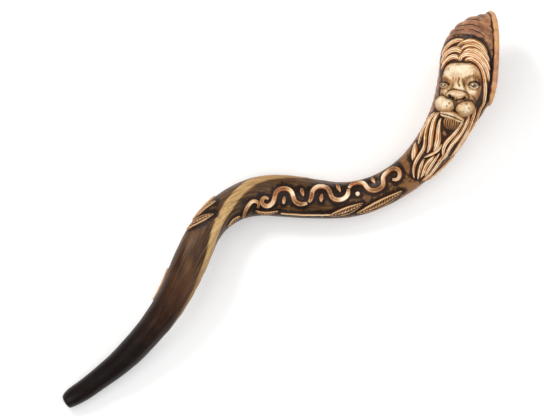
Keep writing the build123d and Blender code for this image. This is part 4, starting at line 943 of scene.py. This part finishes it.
def inner_rings(degrees):
    """From the rim back to the tip: the hollow, the drilled hole and the cup."""
    start = station_reach(CAVITY_START)
    rows = []
    for u in spread(start, 92)[::-1]:
        middle, wide, deep, normal, half, depth, keel, rise, wall = frame(u)
        open_ = max(half - wall, CAVITY_START_R), max(depth - wall, CAVITY_START_R)
        x, y = outline(keel, 0.7 * rise * min(1, (u - start) / 120), degrees)
        ripple = 1 + 0.006 * noise2(u / 9.0, np.cos(np.radians(degrees)) * 2 + 5, 11)[:, None]
        rows.append((middle + (np.outer(x * open_[0], wide) + np.outer(y * open_[1], deep)) * ripple, u))
    tip, inner = frame(0), frame(start)
    way = (inner[0] - tip[0]) / np.linalg.norm(inner[0] - tip[0])
    size = float(np.linalg.norm(inner[0] - tip[0]))
    e1 = tip[1] - (tip[1] @ way) * way
    e1 /= np.linalg.norm(e1)
    e2 = np.cross(way, e1)
    if e2 @ tip[2] < 0:
        e2 = -e2
    t = np.radians(degrees)

    def circle(distance, r):
        return tip[0] + way * distance + r * (np.outer(np.cos(t), e1) + np.outer(np.sin(t), e2))

    for d in np.linspace(size - 1.5, CUP_DEPTH + 0.6, 10):
        rows.append((circle(d, BORE_R), d))
    for share in np.linspace(0, 1, 10):
        a = share * math.pi / 2
        rows.append((circle(CUP_DEPTH * math.cos(a) ** 0.9 if share < 1 else 0.5, BORE_R + (CUP_R - BORE_R) * min(math.sin(a) * 1.6, 1.0) ** 0.7), 0.0))
    rows.append((circle(-0.05, CUP_R + 0.35), 0.0))
    return rows, way


def build_horn():
    outer, normals, paint, degrees = horn_rings()
    rows, way = inner_rings(degrees)
    first = outer[0]
    centre = first.mean(axis=0)
    # the mouthpiece's end is rounded over by hand filing
    outer[0] = centre + (first - centre) * 0.955
    outer[1] = outer[1] * 0.5 + (outer[1].mean(axis=0) + (outer[1] - outer[1].mean(axis=0)) * 0.985) * 0.5
    rings = list(outer) + [r[0] for r in rows]
    n = len(rings)
    verts, faces = strip(rings, wrap_rings=True)
    relief = [v.co for name, o in PIECES.items() if not name.startswith(("eye", "rim")) for v in o.data.vertices]
    tree = kdtree.KDTree(len(relief))
    for i, co in enumerate(relief):
        tree.insert(co, i)
    tree.balance()
    near = np.full(len(verts), 50.0)
    m = RINGS * SPOKES
    for i in range(m):
        near[i] = tree.find(Vector(verts[i] * MM))[2] / MM
    extra = (n - RINGS) * SPOKES
    values = {}
    for key in ("cutline", "hood", "keel", "along", "down"):
        values[key] = np.concatenate([paint[key].ravel(), np.zeros(extra)])
    values["along"][m:] = np.repeat([min(max(r[1], 0) / LENGTH, 1) for r in rows], SPOKES)
    values["inside"] = np.concatenate([np.zeros(m), np.repeat(np.clip(np.arange(len(rows)) / 3.0, 0, 1), SPOKES)])
    values["inside"][-SPOKES * 2:] = 0.2
    values["grime"] = np.clip(np.exp(-((np.maximum(near - 0.4, 0) / 5.4) ** 1.3)), 0, 1)
    theta = np.concatenate([paint["theta"].ravel(), np.tile(np.radians(degrees), n - RINGS)])
    u = np.concatenate([paint["u"].ravel(), values["along"][m:] * LENGTH])
    values["fibre"] = np.column_stack([np.cos(theta) * 2.4, np.sin(theta) * 2.4, u * 0.0048])
    make("horn", verts, faces, "horn", ["horn"], values)


# ---------------------------------------------------------------- the hand-rolled rim
def build_rim():
    middle, wide, deep, normal, half, depth, keel, rise, _ = frame(LENGTH)
    degrees = np.arange(220) * 360.0 / 220
    x, y = outline(keel, rise, degrees)
    edge = middle + np.outer(x * (half - RIM_ROLL_INSET), wide) + np.outer(y * (depth - RIM_ROLL_INSET), deep)
    along = np.roll(edge, -1, axis=0) - np.roll(edge, 1, axis=0)
    along /= np.linalg.norm(along, axis=1)[:, None]
    rings, high = [], []
    for i in range(len(edge)):
        a = np.radians(np.arange(26) * 360.0 / 26)
        outward = np.cross(along[i], normal)
        if outward @ (edge[i] - middle) < 0:
            outward = -outward
        k = i / len(edge)
        s = 2 * math.pi * k
        dent = 0.10 * math.sin(9 * s + 1.0) * math.sin(4 * s) + 0.06 * math.sin(23 * s + 2) + 0.05 * float(noise1(k * 60, 12))
        low_end = np.clip((168.0 - edge[i][1]) / 30.0, 0, 1)
        taper = 1 - 0.34 * low_end**1.2
        edge_in = -1.3 * low_end
        r = RIM_ROLL_R * taper * (0.965 + 0.5 * dent - 0.06 * np.cos(a) ** 2 + 0.03 * np.cos(3 * a + 5 * s))
        r = np.minimum(r, RIM_ROLL_R * 1.0)
        score = np.exp(-(((a - 2.1) / 0.22) ** 2))
        r = r - 0.5 * score
        rings.append(edge[i] + outward * edge_in + np.outer(r * np.cos(a), outward) + np.outer(r * np.sin(a), normal))
        # painted shade: the roll is darker on its inner side and where it sits against the horn
        high.append(np.clip(0.70 + 0.9 * dent - 0.8 * score - 0.25 * np.clip(np.cos(a - math.pi), 0, 1) - 0.75 * np.exp(-(((a - 4.75) / 0.42) ** 2)), 0, 1))
    verts, faces = strip(rings, wrap_rings=True)
    fibre = np.column_stack([np.repeat(np.arange(220), 26) * 0.16, np.tile(np.arange(26), 220) * 0.12, np.zeros(220 * 26)])
    make("rim_roll", verts, faces, "rim", ["rim_roll"], {"high": np.array(high).ravel(), "edge": np.zeros(len(verts)), "fibre": fibre})


build_rim()
build_horn()


# ---------------------------------------------------------------- materials
class Nodes:
    """Short hands for building a node tree."""

    def __init__(self, name):
        self.material = bpy.data.materials.new(name)
        self.material.use_nodes = True
        self.tree = self.material.node_tree
        self.tree.nodes.clear()
        self.out = self.tree.nodes.new("ShaderNodeOutputMaterial")
        self.shader = self.tree.nodes.new("ShaderNodeBsdfPrincipled")
        self.link(self.shader.outputs[0], self.out.inputs[0])

    def link(self, a, b):
        self.tree.links.new(a, b)

    def node(self, kind, **settings):
        n = self.tree.nodes.new(kind)
        for k, v in settings.items():
            setattr(n, k, v)
        return n

    def value(self, name, vector=False):
        n = self.node("ShaderNodeAttribute", attribute_name=name)
        return n.outputs["Vector" if vector else "Fac"]

    def noise(self, vector, scale, detail=4.0, rough=0.55, distortion=0.0):
        n = self.node("ShaderNodeTexNoise")
        n.inputs["Scale"].default_value = scale
        n.inputs["Detail"].default_value = detail
        n.inputs["Roughness"].default_value = rough
        n.inputs["Distortion"].default_value = distortion
        self.link(vector, n.inputs["Vector"])
        return n.outputs["Fac"]

    def ramp(self, factor, stops, mode="EASE"):
        n = self.node("ShaderNodeValToRGB")
        n.color_ramp.interpolation = mode
        while len(n.color_ramp.elements) < len(stops):
            n.color_ramp.elements.new(0.5)
        for e, (place, colour) in zip(n.color_ramp.elements, stops):
            e.position = place
            e.color = (*colour, 1.0) if len(colour) == 3 else colour
        self.link(factor, n.inputs[0])
        return n.outputs[0]

    def mix(self, factor, a, b, kind="MIX"):
        n = self.node("ShaderNodeMix", data_type="RGBA", blend_type=kind)
        for socket, v in ((n.inputs[0], factor), (n.inputs[6], a), (n.inputs[7], b)):
            if isinstance(v, (int, float)):
                socket.default_value = v
            elif isinstance(v, tuple):
                socket.default_value = (*v, 1.0)
            else:
                self.link(v, socket)
        return n.outputs[2]

    def math(self, kind, a, b=0.0, clamp=False):
        n = self.node("ShaderNodeMath", operation=kind, use_clamp=clamp)
        for socket, v in ((n.inputs[0], a), (n.inputs[1], b)):
            if isinstance(v, (int, float)):
                socket.default_value = v
            else:
                self.link(v, socket)
        return n.outputs[0]

    def span(self, x, a, b, lo=0.0, hi=1.0):
        n = self.node("ShaderNodeMapRange")
        n.interpolation_type = "SMOOTHSTEP"
        for i, v in ((1, a), (2, b), (3, lo), (4, hi)):
            n.inputs[i].default_value = v
        self.link(x, n.inputs[0])
        return n.outputs[0]

    def bump(self, height, strength, distance, before=None):
        n = self.node("ShaderNodeBump")
        n.inputs["Strength"].default_value = strength
        n.inputs["Distance"].default_value = distance
        self.link(height, n.inputs["Height"])
        if before is not None:
            self.link(before, n.inputs["Normal"])
        return n.outputs[0]


def srgb(r, g, b):
    return tuple(((c / 255) / 12.92 if c / 255 <= 0.04045 else ((c / 255 + 0.055) / 1.055) ** 2.4) for c in (r, g, b))


def clay(name, deep, low, mid, light, rim, rim_amount=0.7, wash=0.5, rough=(0.36, 0.6), coat=0.06):
    """Painted clay: dark wash in the hollows, ochre on the flanks, a light dry-brushed top, a coloured edge. The
    pieces' 'high' values also carry painted shade and painted highlights, which this material turns into dark and light
    colour.
    """
    m = Nodes(name)
    place = m.node("ShaderNodeTexCoord").outputs["Object"]
    fibre = m.value("fibre", vector=True)
    high, edge = m.value("high"), m.value("edge")
    blotch = m.noise(place, 95.0, 4.0, 0.6)
    fine = m.noise(place, 520.0, 5.0, 0.65)
    brush = m.noise(fibre, 6.5, 4.0, 0.6, 0.4)
    level = m.math("ADD", m.math("MULTIPLY", m.math("SUBTRACT", blotch, 0.5), 0.75), high)
    level = m.math("ADD", level, m.math("MULTIPLY", m.math("SUBTRACT", brush, 0.5), 0.60), clamp=True)
    base = m.ramp(level, [(0.06, deep), (0.30, low), (0.52, mid), (0.80, light)])
    tint = m.math("MULTIPLY", m.span(m.noise(place, 60.0, 3.0, 0.5, 0.3), 0.48, 0.66), rim_amount * 0.55)
    base = m.mix(tint, base, rim)
    ochre = m.math("MULTIPLY", m.span(m.noise(place, 34.0, 3.0, 0.55, 0.6), 0.44, 0.60), 0.55)
    base = m.mix(ochre, base, m.ramp(level, [(0.10, deep), (0.40, srgb(146, 96, 40)), (0.70, srgb(206, 160, 92)), (0.95, light)]))
    base = m.mix(m.math("MULTIPLY", m.span(brush, 0.60, 0.72), wash * 0.55), base, deep)
    base = m.mix(m.math("MULTIPLY", edge, rim_amount), base, rim)
    base = m.mix(m.math("MULTIPLY", m.span(m.math("ADD", high, m.math("MULTIPLY", m.math("SUBTRACT", fine, 0.5), 0.5)), 0.34, 0.08), wash), base, deep)
    base = m.mix(m.math("MULTIPLY", m.span(fine, 0.60, 0.72), 0.35), base, low)
    m.link(base, m.shader.inputs["Base Color"])
    m.link(m.span(m.math("ADD", m.math("MULTIPLY", fine, 0.6), m.math("MULTIPLY", high, 0.4)), 0.2, 0.8, rough[1], rough[0]), m.shader.inputs["Roughness"])
    m.shader.inputs["Coat Weight"].default_value = coat
    m.shader.inputs["Coat Roughness"].default_value = 0.35
    m.shader.inputs["Specular IOR Level"].default_value = 0.25
    first = m.bump(brush, 0.35, 0.0006)
    m.link(m.bump(fine, 0.28, 0.0004, first), m.shader.inputs["Normal"])
    return m.material


def horn_material():
    m = Nodes("horn_polished")
    place = m.node("ShaderNodeTexCoord").outputs["Object"]
    fibre = m.value("fibre", vector=True)
    along, keel, grime, cutline = m.value("along"), m.value("keel"), m.value("grime"), m.value("cutline")
    hood, inside = m.value("hood"), m.value("inside")
    streak = m.noise(fibre, 7.0, 6.0, 0.62, 0.25)
    thin = m.noise(fibre, 26.0, 4.0, 0.6, 0.1)
    cloud = m.noise(place, 13.0, 4.0, 0.55, 0.4)
    blotch = m.noise(place, 55.0, 5.0, 0.6, 0.2)
    grain = m.noise(place, 620.0, 4.0, 0.6)
    # body colour along the horn
    body = m.ramp(along, [(0.0, srgb(15, 6, 4)), (0.12, srgb(13, 6, 4)), (0.20, srgb(22, 11, 7)), (0.30, srgb(46, 27, 17)),
                          (0.42, srgb(60, 38, 24)), (0.56, srgb(62, 40, 24)), (0.68, srgb(72, 46, 28)), (0.78, srgb(112, 74, 46)), (1.0, srgb(128, 84, 58))])
    pale = m.ramp(along, [(0.0, srgb(24, 11, 8)), (0.14, srgb(30, 16, 10)), (0.24, srgb(82, 50, 29)), (0.34, srgb(122, 84, 48)),
                          (0.46, srgb(136, 100, 60)), (0.62, srgb(134, 96, 56)), (0.80, srgb(172, 122, 78)), (1.0, srgb(182, 130, 94))])
    colour = m.mix(m.math("MULTIPLY", m.span(streak, 0.42, 0.70), 0.62), body, pale)
    colour = m.mix(m.math("MULTIPLY", m.span(cloud, 0.46, 0.66), 0.40), colour, pale)
    gold = m.ramp(along, [(0.0, srgb(16, 8, 6)), (0.14, srgb(34, 19, 11)), (0.20, srgb(104, 72, 34)), (0.27, srgb(170, 130, 76)), (0.38, srgb(214, 178, 122)), (0.60, srgb(170, 130, 84)), (1.0, srgb(190, 132, 80))])
    shade = m.ramp(along, [(0.0, srgb(16, 8, 6)), (0.22, srgb(52, 34, 20)), (0.40, srgb(124, 88, 52)), (1.0, srgb(122, 82, 50))])
    gold = m.mix(m.math("MULTIPLY", m.span(streak, 0.58, 0.36), 0.6), gold, shade)
    gold = m.mix(m.math("MULTIPLY", m.span(thin, 0.50, 0.62), 0.55), gold, shade)
    colour = m.mix(m.math("MULTIPLY", m.span(m.math("ADD", keel, m.math("MULTIPLY", m.math("SUBTRACT", streak, 0.5), 0.26)), 0.42, 0.72), 0.90), colour, gold)
    # red-brown hood with light folds
    fold = m.mix(m.span(blotch, 0.38, 0.66), srgb(142, 96, 72), srgb(196, 144, 104))
    fold = m.mix(m.math("MULTIPLY", m.span(streak, 0.50, 0.72), 0.5), fold, srgb(120, 80, 60))
    fold = m.mix(m.math("MULTIPLY", m.span(m.noise(place, 30.0, 4.0, 0.6, 0.8), 0.50, 0.62), 0.6), fold, srgb(98, 64, 48))
    fold = m.mix(m.math("MULTIPLY", m.span(m.noise(place, 210.0, 4.0, 0.7, 0.3), 0.58, 0.66), 0.55), fold, srgb(54, 32, 22))
    colour = m.mix(m.math("MULTIPLY", hood, 0.88), colour, fold)
    # dark fibres and stain
    colour = m.mix(m.math("MULTIPLY", m.span(thin, 0.56, 0.70), 0.45), colour, srgb(40, 24, 15))
    wear = m.math("MULTIPLY", m.math("SUBTRACT", m.noise(place, 85.0, 5.0, 0.68, 0.5), 0.5), 1.9)
    stain = m.math("ADD", m.math("ADD", grime, wear), m.math("MULTIPLY", m.math("SUBTRACT", streak, 0.5), 0.4))
    colour = m.mix(m.math("MULTIPLY", m.math("MULTIPLY", m.span(stain, 0.14, 0.60), m.span(grime, 0.02, 0.22)), 0.92), colour, srgb(20, 9, 5))
    colour = m.mix(m.math("MULTIPLY", m.span(cutline, 0.12, 0.62), 0.94), colour, srgb(26, 12, 8))
    hollow = m.mix(m.span(streak, 0.40, 0.68), srgb(96, 66, 42), srgb(170, 128, 86))
    colour = m.mix(inside, colour, hollow)
    m.link(colour, m.shader.inputs["Base Color"])
    m.link(m.span(m.math("ADD", m.math("MULTIPLY", thin, 0.5), m.math("MULTIPLY", blotch, 0.5)), 0.35, 0.65, 0.24, 0.46), m.shader.inputs["Roughness"])
    m.shader.inputs["Coat Weight"].default_value = 0.03
    m.shader.inputs["Coat Roughness"].default_value = 0.2
    m.shader.inputs["Specular IOR Level"].default_value = 0.16
    a = m.bump(streak, 0.25, 0.0007)
    b = m.bump(thin, 0.22, 0.0004, a)
    m.link(m.bump(grain, 0.10, 0.0002, b), m.shader.inputs["Normal"])
    return m.material


def eye_material():
    m = Nodes("eye_glaze")
    place = m.node("ShaderNodeTexCoord").outputs["Object"]
    fine = m.noise(place, 700.0, 4.0, 0.6)
    streak = m.noise(m.value("fibre", vector=True), 14.0, 4.0, 0.6)
    base = m.ramp(m.value("high"), [(0.08, srgb(12, 6, 4)), (0.40, srgb(78, 46, 20)), (0.62, srgb(128, 96, 60)), (0.90, srgb(206, 176, 132))])
    base = m.mix(m.math("MULTIPLY", m.span(streak, 0.4, 0.65), 0.45), base, srgb(52, 32, 18))
    # painted highlight: the glint marked by 'edge' is painted near white
    base = m.mix(m.math("MULTIPLY", m.value("edge"), 0.95), base, srgb(250, 244, 230))
    m.link(base, m.shader.inputs["Base Color"])
    m.link(m.span(fine, 0.3, 0.7, 0.10, 0.24), m.shader.inputs["Roughness"])
    m.shader.inputs["Coat Weight"].default_value = 0.8
    m.shader.inputs["Coat Roughness"].default_value = 0.06
    m.link(m.bump(fine, 0.06, 0.0002), m.shader.inputs["Normal"])
    return m.material


MATERIALS = {
    "horn": horn_material(),
    "rim": clay("rim_paint", srgb(34, 17, 10), srgb(104, 62, 40), srgb(160, 108, 78), srgb(204, 152, 112), srgb(172, 100, 62), 0.6, 0.9),
    "face_clay": clay("face_paint", srgb(22, 11, 6), srgb(100, 66, 34), srgb(178, 140, 92), srgb(238, 220, 190), srgb(168, 106, 58), 0.7, 0.9),
    "mane_clay": clay("mane_paint", srgb(20, 9, 5), srgb(122, 70, 34), srgb(206, 150, 94), srgb(250, 228, 196), srgb(184, 112, 52), 0.60, 0.9),
    "ribbon_clay": clay("ribbon_paint", srgb(34, 16, 9), srgb(124, 78, 46), srgb(206, 166, 122), srgb(248, 230, 202), srgb(176, 104, 60), 0.72, 0.9),
    "leaf_clay": clay("leaf_paint", srgb(16, 8, 5), srgb(84, 54, 32), srgb(172, 126, 82), srgb(234, 206, 168), srgb(196, 138, 86), 0.7, 0.9),
    "eye": eye_material(),
}
for piece in PIECES.values():
    piece.data.materials.clear()
    piece.data.materials.append(MATERIALS[piece["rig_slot"]])

# ---------------------------------------------------------------- floor, light
floor_mesh = bpy.data.meshes.new("floor")
floor_mesh.from_pydata([(-8, -8, 0), (8, -8, 0), (8, 8, 0), (-8, 8, 0)], [], [(0, 1, 2, 3)])
floor = bpy.data.objects.new("floor", floor_mesh)
bpy.context.scene.collection.objects.link(floor)
pale = bpy.data.materials.new("floor_pale")
pale.use_nodes = True
pale.node_tree.nodes["Principled BSDF"].inputs["Base Color"].default_value = (0.92, 0.92, 0.92, 1)
pale.node_tree.nodes["Principled BSDF"].inputs["Roughness"].default_value = 0.9
pale.node_tree.nodes["Principled BSDF"].inputs["Emission Color"].default_value = (1.0, 0.995, 0.99, 1)
pale.node_tree.nodes["Principled BSDF"].inputs["Emission Strength"].default_value = 0.14
floor_mesh.materials.append(pale)

world = bpy.data.worlds.new("studio")
world.use_nodes = True
world.node_tree.nodes["Background"].inputs[0].default_value = (1.0, 0.99, 0.98, 1)
world.node_tree.nodes["Background"].inputs[1].default_value = 0.36
bpy.context.scene.world = world


def lamp(name, place, aim, size, power, colour=(1, 1, 1)):
    data = bpy.data.lights.new(name, "AREA")
    data.shape, data.size, data.energy, data.color = "DISK", size, power, colour
    light = bpy.data.objects.new(name, data)
    light.location = place
    light.rotation_mode = "QUATERNION"
    light.rotation_quaternion = (Vector(aim) - Vector(place)).to_track_quat("-Z", "Y")
    bpy.context.scene.collection.objects.link(light)
    return light


lamp("key", (-1.2, 1.5, 1.9), (0, 0, 0.04), 0.9, 33.0, (1.0, 0.97, 0.93))
lamp("fill_right", (1.8, -1.2, 1.5), (0, 0, 0.04), 1.6, 18.0, (0.96, 0.98, 1.0))
lamp("fill_left", (-1.9, -1.3, 1.5), (0, 0, 0.04), 1.6, 13.0, (1.0, 0.99, 0.97))
lamp("fill_back", (1.5, 1.7, 1.6), (0, 0, 0.04), 1.6, 15.0, (1.0, 1.0, 1.0))
lamp("overhead", (0.0, 0.2, 3.4), (0, 0, 0.04), 3.2, 34.0, (1.0, 1.0, 1.0))

bpy.context.scene.view_settings.view_transform = "Standard"
